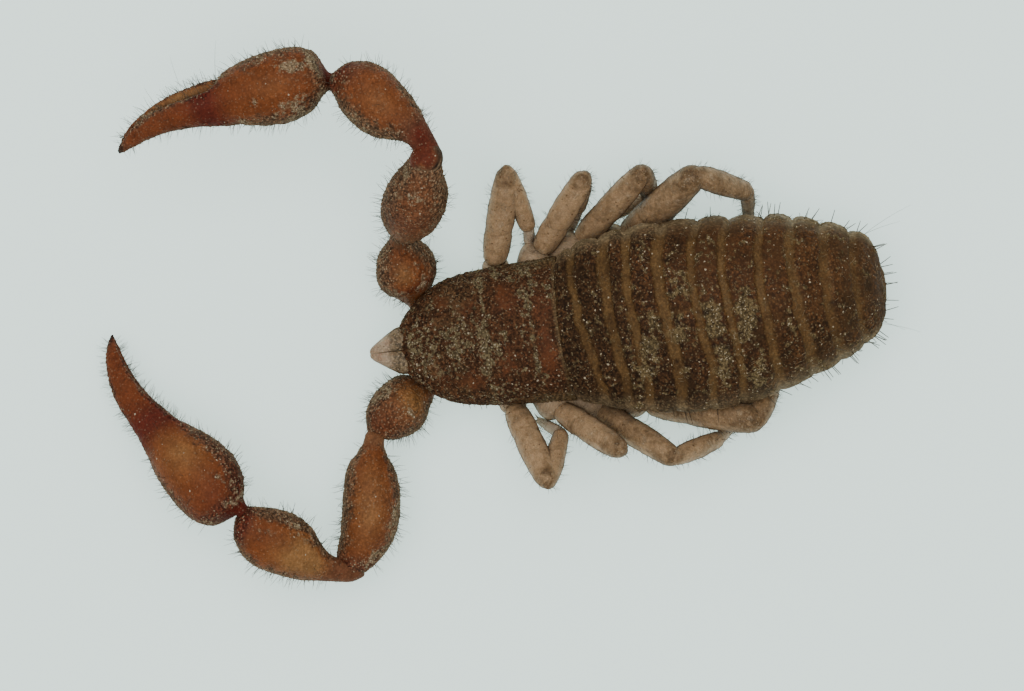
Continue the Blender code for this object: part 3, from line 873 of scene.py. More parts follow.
@dataclass
class Carapace:
    """The shield over the front of the trunk: domed, two furrows across it, beaded at its margins.

    Each of its rows holds a place along, the half width, the top and the underside there.
    """

    rows: tuple[Row, ...] = (
        (-0.838, 0.085, 0.272, 0.228), (-0.8, 0.145, 0.3, 0.238), (-0.71, 0.236, 0.342, 0.244),
        (-0.6, 0.303, 0.382, 0.228), (-0.48, 0.335, 0.414, 0.201), (-0.38, 0.347, 0.432, 0.201),
        (-0.2, 0.36, 0.456, 0.201), (0.04, 0.374, 0.474, 0.201),
    )
    front: float = -0.846
    rear: float = 0.002
    furrows: Pair = (-0.385, -0.143)
    furrow_depth: float = 0.012
    furrow_width: float = 0.02
    lean: float = 0.012
    sweep: float = 0.04
    rear_reach: float = 0.3
    power: float = 2.2
    along: int = 250
    over: int = 280
    under: int = 84
    end_round: float = 0.03
    crowding: float = 0.06
    belly_depth: float = 0.006
    big_grain: float = 0.0125
    small_grain: float = 0.007
    rises: tuple[float, float, float] = (0.0046, 0.0013, 0.005)
    clear_patches: tuple[Row, ...] = (
        (-0.185, -0.27, 0.095, 0.075, 0.85), (-0.16, -0.47, 0.055, 0.085, 0.75),
        (0.15, -0.28, 0.11, 0.065, 0.75), (0.12, -0.08, 0.12, 0.05, 0.8), (-0.09, -0.065, 0.1, 0.065, 0.75),
        (0.2, -0.61, 0.06, 0.095, 0.7), (-0.21, -0.595, 0.04, 0.055, 0.7),
        (0.235, -0.455, 0.045, 0.065, 0.7), (-0.1, -0.63, 0.06, 0.07, 0.5), (0.11, -0.67, 0.05, 0.06, 0.5),
        (0.16, -0.46, 0.05, 0.05, 0.6), (-0.04, -0.48, 0.05, 0.04, 0.4),
    )
    crust_patches: tuple[Row, ...] = (
        (0.02, -0.42, 0.085, 0.06, 0.9), (0.09, -0.375, 0.09, 0.04, 0.9), (-0.06, -0.39, 0.15, 0.022, 0.6),
        (-0.01, -0.3, 0.04, 0.04, 0.7), (-0.2, -0.165, 0.06, 0.04, 0.9), (0.17, -0.13, 0.09, 0.03, 0.8),
        (-0.27, -0.38, 0.04, 0.05, 0.6), (-0.24, -0.085, 0.09, 0.06, 0.6), (-0.06, -0.56, 0.12, 0.1, 0.7),
        (0.02, -0.74, 0.14, 0.08, 0.8), (0.12, -0.52, 0.06, 0.06, 0.5), (0.29, -0.3, 0.03, 0.08, 0.6),
        (-0.31, -0.25, 0.03, 0.1, 0.6), (0.28, -0.06, 0.05, 0.05, 0.6), (0.0, -0.2, 0.05, 0.04, 0.5),
    )

    def shape(self) -> Surface:
        """The closed shield: half width times a superellipse across, the roof over a flat underside.

        Returns:
            The surface with its grains and masks.
        """
        share = np.linspace(0, 1, self.along)
        y = self.front + (self.rear - self.front) * (share - self.crowding * np.sin(math.tau * share))
        width, top, floor = columns(self.rows, y)
        ends = np.sqrt(held(1 - (1 - held((y - self.front) / self.end_round)) ** 2))
        ends = ends * (1 - 0.12 * ease(self.rear - 0.008, self.rear, y)) + 0.02
        for furrow in self.furrows:
            top = top - self.furrow_depth * bell(y - furrow, self.furrow_width)[:, None]
        across, up = power_arc(ring_angles(self.over, self.under), self.power)
        x = width * across * ends[:, None]
        domed = (top - floor) * up * (0.35 + 0.65 * ends[:, None])
        rise = np.where(up > 0, domed, self.belly_depth * up)
        rear = np.clip(1 + y / self.rear_reach, 0, None)[:, None]
        place = y[:, None] + rear * (self.sweep * across**2 + self.lean * across)
        surface = closed(np.stack([x, place + 0 * x, floor + rise], axis=-1))
        self.dress(surface, y, across, up)
        return surface

    def dress(self, surface: Surface, y: Array, across: Array, up: Array) -> None:
        """Raises the grains and writes the masks.

        Args:
            surface: The bare shield.
            y: The place of each ring.
            across: Each column's place across, from -1 to 1.
            up: Each column's height, from -1 to 1.
        """
        spots = surface.points.copy()
        above = (up > 0)[None] * np.ones_like(spots[..., 0])
        patchy, fine = cloud(spots, 0.09, 5), cloud(spots, 0.03, 6)
        specks = cloud(spots, 0.016, 8, 2)
        seen = spots[..., 0], spots[..., 1]
        clear = patches(*seen, self.clear_patches) + 0.26 * patchy + 0.2 * fine + 0.14 * specks
        amber = ease(0.2, 0.95, clear) * above
        furrow = sum(bell(y[:, None] - place + 0.012 * fine, 0.015) for place in self.furrows)
        margin = ease(0.8, 0.98, np.abs(across) + 0.05 * fine) * above
        wobble = y[:, None] + 0.006 * fine
        rim = ease(self.rear - 0.036, self.rear - 0.012, wobble) * above
        amber = amber * (1 - 0.8 * furrow) * (1 - margin) * (1 - rim)
        big, label = beads(spots, self.big_grain, 21)
        small, _ = beads(spots, self.small_grain, 31, SMALL_FILL)
        ahead = ease(-0.22, -0.55, y)[:, None]
        rough = np.clip(1 - 0.8 * amber, 0.05, 1) * (0.8 + 0.2 * ahead)
        grain, dust, swell = self.rises
        height = grain * big * rough + dust * small + swell * fine * rough * (0.4 + 0.6 * ahead)
        surface.push(height * above + 0.001 * small * (1 - above))
        litter = 0.8 * cloud(spots, 0.05, 41, 3) + cloud(spots, 0.016, 44, 2)
        reach = patches(*seen, self.crust_patches) + 0.55 * furrow + 0.4 * margin
        middle = bell(across, 0.55) * ahead
        grime = litter + 0.85 * reach + 0.34 * middle - 0.06 * ahead + 0.3 * (label - 0.5)
        crust = ease(0.55, 1.05, grime) * (1 - 0.75 * amber)
        corner = margin * ease(-0.35, -0.05, y)[:, None]
        surface.masks = {
            "amber": held(0.85 * amber + 0.35 * (1 - ahead) * (1 - margin) * ease(-0.4, 0.5, patchy + fine)),
            "crust": np.clip(crust, 0, 0.85) * above,
            "side": held(0.55 * rim + 0.3 * ahead * ease(-0.2, 0.5, patchy) + 0.8 * corner),
            "soft": held(0.5 * furrow * above * ease(-0.2, 0.5, patchy) + 0.3 * rim + 0.25 * corner),
            "grit": held(rough + 0.1) * (1 - 0.45 * rim),
            "relief": held(0.25 + 0.75 * (big * rough + 0.45 * (1 - rough))),
        }


@dataclass
class Abdomen:
    """Eleven ring segments under one skin, a raised plate above and below on each, and the anal cone.

    Each of its rows holds a place along, the half width, the top, the middle, and the lean and sweep of the
    rings there. Each of its bends holds a place and the shift and slant of the plates there.
    """

    rows: tuple[Row, ...] = (
        (0.0, 0.377, 0.474, 0.0, 0.012, 0.04), (0.12, 0.425, 0.5, 0.0, 0.04, 0.04),
        (0.28, 0.466, 0.545, 0.0, 0.018, 0.04), (0.42, 0.486, 0.585, 0.0, 0.0, 0.04),
        (0.6, 0.498, 0.62, 0.007, -0.02, 0.04), (0.8, 0.496, 0.642, 0.011, -0.027, 0.04),
        (1.0, 0.473, 0.645, 0.006, -0.015, 0.04), (1.2, 0.43, 0.622, -0.02, 0.005, 0.04),
        (1.35, 0.382, 0.575, -0.03, 0.014, 0.04), (1.48, 0.331, 0.515, -0.037, 0.012, 0.036),
        (1.56, 0.291, 0.455, -0.039, 0.004, 0.026), (1.62, 0.258, 0.4, -0.04, 0.0, 0.016),
        (1.66, 0.218, 0.35, -0.038, 0.0, 0.008), (1.69, 0.165, 0.295, -0.036, 0.0, 0.004),
    )
    segment_ends: tuple[float, ...] = (
        0.0, 0.103, 0.237, 0.361, 0.531, 0.712, 0.877, 1.074, 1.24, 1.386, 1.533, 1.69,
    )
    plates: tuple[Pair, ...] = (
        (-0.015, 0.092), (0.12, 0.218), (0.268, 0.347), (0.386, 0.516), (0.566, 0.697), (0.731, 0.853),
        (0.883, 1.046), (1.084, 1.212), (1.252, 1.364), (1.402, 1.514), (1.544, 1.7),
    )
    bends: tuple[Row, ...] = (
        (0.0, 0.0, 0.0), (0.103, 0.004, 0.045), (0.237, 0.026, 0.025), (0.361, 0.015, 0.04),
        (0.531, 0.008, 0.075), (0.712, 0.005, 0.08), (0.877, 0.01, 0.07), (1.074, -0.004, 0.045),
        (1.24, 0.0, 0.03), (1.386, 0.012, 0.0), (1.533, 0.02, 0.0), (1.7, 0.0, 0.0),
    )
    first_on_floor: float = 0.361
    trunk_floor: float = 0.201
    notch: float = 0.022
    left_notch: float = 0.35
    plate_rise: float = 0.013
    left_reach: float = 0.16
    plate_angle: float = math.radians(17)
    belly_angle: float = math.radians(38)
    belly_power: float = 1.45
    back_power: float = 2.2
    start: float = -0.035
    cone_end: float = 1.722
    lobe_power: float = 0.42
    along: int = 306
    over: int = 214
    under: int = 92
    big_grain: float = 0.0165
    small_grain: float = 0.0095
    rises: tuple[float, float, float] = (0.005, 0.0016, 0.003)
    flank_rises: tuple[float, float, float] = (0.01, 0.003, 0.004)
    widest_at: tuple[Pair, ...] = ((0.0, 0.31), (0.4, 0.4), (1.1, 0.33), (1.7, 0.215))
    deepest_at: tuple[Pair, ...] = ((1.2, -0.02), (1.5, 0.02), (1.7, 0.15))
    warmth: tuple[Pair, ...] = ((0.0, 0.1), (0.25, 0.25), (0.6, 0.55), (0.9, 0.8), (1.4, 0.75), (1.7, 0.45))
    crust_patches: tuple[Row, ...] = (
        (-0.01, 0.46, 0.05, 0.04, 1.0), (-0.12, 0.65, 0.06, 0.05, 1.0), (-0.03, 0.79, 0.12, 0.05, 1.0),
        (-0.06, 0.97, 0.06, 0.05, 1.1), (0.1, 0.95, 0.07, 0.06, 1.2), (0.09, 0.61, 0.09, 0.05, 1.0),
        (0.17, 0.47, 0.12, 0.05, 0.9), (0.11, 0.8, 0.06, 0.05, 0.9), (0.3, 0.63, 0.05, 0.05, 0.7),
        (0.39, 1.0, 0.05, 0.06, 0.9), (0.12, 1.2, 0.04, 0.04, 0.7), (-0.29, 0.6, 0.04, 0.03, 0.6),
        (-0.19, 0.65, 0.05, 0.03, 0.7), (-0.18, 0.17, 0.03, 0.03, 0.7), (-0.36, 0.49, 0.05, 0.04, 0.8),
        (0.12, 0.34, 0.05, 0.03, 0.8), (-0.1, 1.31, 0.03, 0.03, 0.6), (0.22, 0.83, 0.08, 0.06, 0.4),
        (0.02, 1.2, 0.1, 0.05, 0.3), (0.29, 0.84, 0.09, 0.07, 0.8), (0.31, 1.0, 0.07, 0.05, 0.8),
        (0.2, 0.4, 0.08, 0.05, 0.8), (0.29, 0.43, 0.05, 0.05, 0.7), (0.03, 0.98, 0.09, 0.06, 0.9),
        (0.07, 0.79, 0.08, 0.05, 0.9), (0.05, 0.5, 0.05, 0.04, 0.8),
    )
    pits: tuple[Row, ...] = (
        (0.12, 0.41, 0.01, 0.01, 1.0), (0.04, 0.61, 0.018, 0.012, 1.0), (0.01, 0.76, 0.016, 0.016, 1.0),
        (0.07, 1.03, 0.015, 0.012, 1.0), (-0.01, 0.95, 0.01, 0.012, 1.0), (-0.12, 0.59, 0.022, 0.014, 0.9),
        (0.24, 0.58, 0.01, 0.01, 1.0), (0.16, 0.5, 0.012, 0.01, 0.9), (0.03, 1.42, 0.012, 0.012, 0.9),
        (0.2, 0.86, 0.02, 0.016, 0.7), (0.0, 0.72, 0.01, 0.01, 0.9), (0.13, 0.93, 0.008, 0.01, 1.0),
    )

    def shape(self) -> Surface:
        """The closed skin: superellipse rings, flatter below, whose sides draw in between the segments.

        Returns:
            The surface with its relief and masks.
        """
        y = np.linspace(self.start, self.cone_end, self.along)
        width, top, middle, lean, sweep = columns(self.rows, y)
        angles = ring_angles(self.over, self.under)
        low = np.sin(angles) < 0
        across, up = power_arc(angles, self.back_power)
        low_across, low_up = power_arc(angles, self.belly_power)
        across, up = np.where(low, low_across, across)[None], np.where(low, low_up, up)[None]
        ends = np.array(self.segment_ends)
        number = np.clip(np.searchsorted(ends, y, side="right") - 1, 0, len(ends) - 2)
        step = held((y - ends[number]) / (ends[number + 1] - ends[number]))
        lobe = np.sin(math.pi * step)[:, None] ** self.lobe_power
        tuck = 1 - 0.1 * ease(0.015, self.start, y)[:, None]
        cone = held((y - ends[-1]) / (self.cone_end - ends[-1]))
        tuck = tuck * np.where(cone > 0, 0.8 * np.sqrt(np.clip(1 - cone**2, 0.002, 1)), 1)[:, None]
        widest = line_through(self.widest_at, y)
        lifted = (y < self.first_on_floor)[:, None]
        floor = np.where(lifted, self.trunk_floor, 0.0)
        deepest = np.where(lifted, self.trunk_floor - 0.03, line_through(self.deepest_at, y))
        sideways = (width - self.notch * (1 - lobe) * np.where(across > 0, self.left_notch, 1.0)) * tuck
        x = sideways * across
        height = np.where(low[None], widest - deepest, top - widest)
        z = np.maximum(widest + height * up * tuck, floor)
        share = x / width
        points = np.stack([x + middle, y[:, None] + sweep * share**2 + lean * share, z], axis=-1)
        surface = closed(points, (0.0, 0.001, 0.0))
        self.dress(surface, y, angles, across + 0 * x, lobe)
        return surface

    def plate_mask(self, spots: Array, y: Array, angles: Array, across: Array) -> Array:
        """Where the hard plates lie: inside their spans, shifted and slanted by share · (1.1 - share²).

        Args:
            spots: The skin's points.
            y: The place of each ring.
            angles: The angle of each column.
            across: Each point's place across, from -1 to 1.

        Returns:
            The mask, 1 on a plate.
        """
        wobble = 0.01 * cloud(spots, 0.09, 61) + 0.0055 * cloud(spots, 0.022, 62, 3)
        shift, slant = line_through(self.bends, y, 1), line_through(self.bends, y, 2)
        place = y[:, None] + wobble - shift - slant * across * (1.1 - across**2)
        along = sum(
            ease(first - 0.004, first + 0.018, place) * ease(last + 0.003, last - 0.011, place)
            for first, last in self.plates
        )
        ragged = 0.09 * cloud(spots, 0.07, 63) + 0.1 * cloud(spots, 0.022, 64, 2)
        lower = self.left_reach * ease(0.1, 0.36, spots[..., 0]) * ease(1.1, 0.8, y)[:, None]
        height = np.sin(angles)[None]
        edge, belly_edge = math.sin(self.plate_angle), math.sin(self.belly_angle)
        back = ease(edge - 0.1, edge + 0.1, height + ragged + lower)
        belly = ease(belly_edge - 0.06, belly_edge + 0.06, ragged - height)
        return along * (back + belly)

    def dress(self, surface: Surface, y: Array, angles: Array, across: Array, lobe: Array) -> None:
        """Raises plates, lobes and grains and writes the masks.

        Args:
            surface: The bare skin.
            y: The place of each ring.
            angles: The angle of each column.
            across: Each point's place across, from -1 to 1.
            lobe: Each ring's place in its segment, 1 at the middle and 0 at the ends.
        """
        spots = surface.points.copy()
        plate = self.plate_mask(spots, y, angles, across)
        above = (np.sin(angles) > 0)[None]
        patchy, fine = cloud(spots, 0.12, 95), cloud(spots, 0.035, 96)
        crease = np.abs(spots[..., 0] + 0.02 + 0.016 * cloud(spots, 0.12, 71)) / 0.014
        median = bell(crease, 1.0) * ease(0.05, 0.3, y)[:, None] * ease(1.25, 1.0, y)[:, None] * above
        plate = plate * (1 - 0.55 * median * ease(-0.2, 0.5, patchy))
        flank = ease(0.66, 0.28, np.abs(np.sin(angles)))[None] * np.ones_like(plate)
        big, label = beads(spots, self.big_grain, 81)
        small, _ = beads(spots, self.small_grain, 91, SMALL_FILL)
        front = ease(0.75, 0.3, y)[:, None]
        litter = 0.75 * cloud(spots, 0.055, 101, 3) + 0.8 * cloud(spots, 0.019, 107, 2)
        seen = spots[..., 0], spots[..., 1]
        reach = patches(*seen, self.crust_patches)
        crust = ease(0.5, 0.86, 1.05 * litter + reach + 0.25 * (label - 0.5)) * above
        crust = crust * held(0.25 + plate + 0.6 * reach + 0.6 * flank)
        # dusk marks the animal's left side, which is painted in shade: less clear amber, a dimmer pale flank
        # and more grit.
        dusk = ease(-0.15, 0.35, spots[..., 0])
        smudge = ease(0.1, 0.55, cloud(spots, 0.075, 109)) * plate
        gritty = np.clip(0.42 + 0.56 * front + 0.5 * patchy + 0.35 * dusk + 0.5 * crust, 0.25, 1)
        pocks = ease(0.3, 0.55, cloud(spots, 0.02, 103)) * held(0.9 * reach + 0.15 * front)
        holes = held(patches(*seen, self.pits) + 0.9 * pocks)
        grain, dust, swell = self.rises
        lobed, pebbled, rough = self.flank_rises
        height = self.plate_rise * (plate - 0.5)
        height = height + plate * gritty * grain * big + dust * small * (0.4 + 0.6 * plate)
        height = height + swell * cloud(spots, 0.05, 97) * plate + lobed * flank * lobe * (1 - plate)
        height = height + pebbled * flank * big * (1 - plate) + rough * flank * fine
        surface.push(height + 0.004 * crust * litter - 0.005 * holes)
        warm = line_through(self.warmth, y)
        amber = held(warm * (1.1 - 0.55 * dusk) + 0.5 * patchy + 0.2 * fine - 0.05 - 0.55 * smudge)
        rear = ease(0.9, 1.5, y)[:, None]
        thin = held(0.88 + 0.45 * fine + 0.25 * patchy - 0.2 * dusk * front)
        soft = (1 - plate) * (1 - 0.75 * flank) * (1 - 0.25 * rear) * thin
        # Painted shade: the pale flank colour is dimmed on the left side.
        shade = 1 - 0.25 * dusk
        surface.masks = {
            "amber": amber,
            "soft": held(soft + 0.15 * plate * rear),
            # Pale olive flanks: partly the lobes' own colour, partly painted light on the steep sides.
            "side": held(flank * (0.95 - 0.55 * plate) + 0.3 * flank * rear) * shade,
            "crust": np.clip(crust + 0.5 * rear * (1 - plate) * above * ease(0.1, 0.7, litter), 0, 0.85),
            "grit": held(plate * gritty * (1 - 0.35 * flank) + 0.34 * (1 - plate)),
            "tip": 0.7 * holes,
            "relief": held(0.5 + held(plate * gritty + flank) * (big - 0.5) + 0.25 * (small - 0.5)),
        }

    def build(self, finishes: Finishes) -> Surface:
        """Makes the piece that stands for all the abdomen's solids."""
        surface = self.shape()
        nodes = [f"abdomen_{number:02d}" for number in range(1, 13)]
        piece("abdomen_skin", [surface], finishes.abdomen, nodes)
        return surface


# Limbs


def link_axes(sign: int, turn: float, rise: float, roll: float = 0.0) -> Axes:
    """Along, inner and upper axes of a limb link, from its turn, rise and roll in degrees.

    Args:
        sign: 1 on the left and -1 on the right.
        turn: Turn forward of straight out.
        rise: Rise above level.
        roll: Roll about the link, outer side up.

    Returns:
        Three unit axes.
    """
    turn, rise, spin = math.radians(turn), math.radians(rise), math.radians(sign * roll)
    flat = np.array([sign * math.cos(turn), -math.sin(turn), 0])
    along = flat * math.cos(rise) + UP * math.sin(rise)
    inner = np.array([-sign * math.sin(turn), -math.cos(turn), 0])
    upper = UP * math.cos(rise) - flat * math.sin(rise)
    spun = [v * math.cos(spin) + np.cross(along, v) * math.sin(spin) for v in (inner, upper)]
    return along, spun[0], spun[1]


@dataclass
class Link:
    """One tube of a limb: elliptic rings along an axis, their edges read off a smooth curve, ends rounded."""

    start: Array
    axes: Axes
    length: float
    rows: Sequence[Row]
    span: Pair
    caps: Pair
    grid: Grid
    crowding: float = 0.08

    def places(self) -> Array:
        """Places of the rings, closer together where the ends round off."""
        share = np.linspace(0, 1, self.grid[0] + 2)[1:-1]
        first, last = self.span
        return first + (last - first) * (share - self.crowding * np.sin(math.tau * share))

    def shape(self, depth_of: Array | None = None, lift: Array | None = None) -> tuple[Surface, Array, Array]:
        """Rings: across is the edges' middle plus half their span times cosine, up is depth times sine.

        Args:
            depth_of: Factor on the half depth at each ring.
            lift: Shift of each ring's middle along the upper axis, as a share of its half depth.

        Returns:
            The surface, the rings' places and the columns' angles.
        """
        t = self.places()
        inner_edge, outer_edge, depth = columns(self.rows, t)
        near = held((t - self.span[0]) / self.caps[0])
        far = held((self.span[1] - t) / self.caps[1])
        round_off = (np.sqrt(1 - (1 - near) ** 2) * np.sqrt(1 - (1 - far) ** 2))[:, None]
        angles = circle(self.grid[1])
        middle = (inner_edge - outer_edge) / 2
        half = (inner_edge + outer_edge) / 2 * round_off
        shift = depth * (0 if lift is None else lift[:, None])
        deep = depth * round_off * (1 if depth_of is None else depth_of[:, None])
        across = middle + half * np.cos(angles)
        up = shift + deep * np.sin(angles)
        along, inner, upper = self.axes
        centre = self.start + along * (self.length * t)[:, None]
        points = centre[:, None] + across[..., None] * inner + up[..., None] * upper
        return closed(on_floor(points)), t, angles


@dataclass(frozen=True)
class Look:
    """How one link of a palp is marked. Places are the share along it and, across, 1 inside to -1 outside."""

    rim_in: float
    rim_out: float
    socket: Pair
    neck_red: float = 1.0
    clear: float = 1.0
    crust: float = 0.0
    ochre: Row = (0.5, 0.0, 0.2, 0.5, 0.0)
    red: Row = (1.0, 0.08, 0.0)
    crusts: tuple[Row, ...] = ()
    rim_red: float = 0.15
    # Painted light: how strongly a pale rim is painted on the link's steep sides.
    painted_rim_light: float = 0.48
    neck_clear: float = 0.0


PALP_LOOKS = {
    ("trochanter", "right"): Look(
        0.38, 0.36, (0.24, 0.34), neck_red=0.1, neck_clear=1.0, clear=0.8,
        ochre=(0.68, 0.16, 0.13, 0.36, 0.9), red=(0.44, 0.06, 0.5), crusts=(
            (0.6, 0.8, 0.25, 0.25, 0.5), (0.42, 0.1, 0.05, 0.6, 0.7), (0.62, -0.42, 0.2, 0.1, 0.7),
            (0.86, -0.1, 0.05, 0.4, 0.5),
        ),
    ),
    ("trochanter", "left"): Look(
        0.34, 0.26, (0.08, 0.16), neck_red=0.1, neck_clear=0.5, clear=0.6,
        ochre=(0.38, -0.15, 0.17, 0.55, 2.2), red=(0.86, 0.12, 0.3),
        crusts=((0.52, -0.35, 0.06, 0.3, 0.9), (0.55, 0.7, 0.14, 0.3, 0.7), (0.72, 0.85, 0.1, 0.2, 0.5)),
    ),
    ("femur", "right"): Look(
        0.46, 0.24, (0.02, 0.12), neck_red=0.5, clear=0.56, crust=0.03, red=(0.52, 0.16, 0.22), painted_rim_light=0.28,
        crusts=((0.8, 0.2, 0.06, 0.5, 0.6), (0.9, 0.8, 0.06, 0.2, 0.6), (0.25, 0.8, 0.1, 0.25, 0.6)),
    ),
    ("femur", "left"): Look(
        0.3, 0.24, (0.01, 0.1), neck_red=0.25, clear=0.9, crust=0.04, ochre=(0.5, 0.02, 0.3, 0.55, 0.75),
        red=(1.0, 0.07, 0.5), crusts=((0.6, -0.85, 0.15, 0.15, 0.7), (0.9, -0.6, 0.08, 0.3, 0.7)),
    ),
    ("patella", "right"): Look(
        0.38, 0.15, (0.14, 0.34), clear=0.9, ochre=(0.52, -0.05, 0.17, 0.45, 0.35), red=(0.99, 0.15, 0.85),
        crusts=((0.86, 0.05, 0.025, 0.2, 0.8), (0.62, 0.9, 0.18, 0.2, 0.7), (0.96, 0.5, 0.05, 0.4, 0.4)),
    ),
    ("patella", "left"): Look(
        0.36, 0.11, (0.1, 0.3), neck_red=0.55, ochre=(0.42, -0.1, 0.22, 0.7, 1.5), red=(0.98, 0.07, 0.9),
        crusts=((0.62, 0.62, 0.1, 0.22, 0.8), (0.46, 0.6, 0.06, 0.22, 0.6), (0.8, 0.1, 0.06, 0.22, 0.5)),
    ),
    ("hand", "right"): Look(
        0.24, 0.2, (0.012, 0.035), ochre=(0.22, -0.05, 0.12, 0.4, 0.22),
        red=(0.01, 0.02, 0.3), rim_red=0.25, crusts=(
            (0.12, -0.36, 0.046, 0.24, 1.3), (0.17, -0.5, 0.034, 0.16, 1.1),
            (0.045, -0.35, 0.014, 0.3, 1.0), (0.17, 0.72, 0.08, 0.34, 1.0), (0.33, 0.22, 0.022, 0.15, 1.3),
            (0.42, 0.9, 0.03, 0.2, 0.8), (0.25, -0.8, 0.03, 0.14, 0.8), (0.03, -0.1, 0.012, 0.3, 0.8),
            (0.45, -0.95, 0.06, 0.1, 0.7),
        ),
    ),
    ("hand", "left"): Look(
        0.4, 0.1, (0.012, 0.035), ochre=(0.34, 0.0, 0.11, 0.55, 0.7), red=(0.05, 0.12, 0.35),
        rim_red=0.75, crusts=(
            (0.3, 0.55, 0.03, 0.15, 0.6), (0.16, 0.4, 0.025, 0.12, 0.7), (0.04, 0.45, 0.02, 0.3, 0.8),
        ),
    ),
    ("finger", "right"): Look(
        0.1, 0.1, (0.0, 0.01), ochre=(0.62, -0.45, 0.22, 0.7, 1.05), crust=0.1, rim_red=0.2, painted_rim_light=0.3,
        crusts=(
            (0.8, -0.45, 0.07, 0.5, 1.1), (0.9, -0.2, 0.08, 0.4, 0.6), (0.5, 0.1, 0.3, 0.1, 0.5),
        ),
    ),
    ("finger", "left"): Look(0.18, 0.1, (0.0, 0.01), crust=0.06, rim_red=0.6),
}


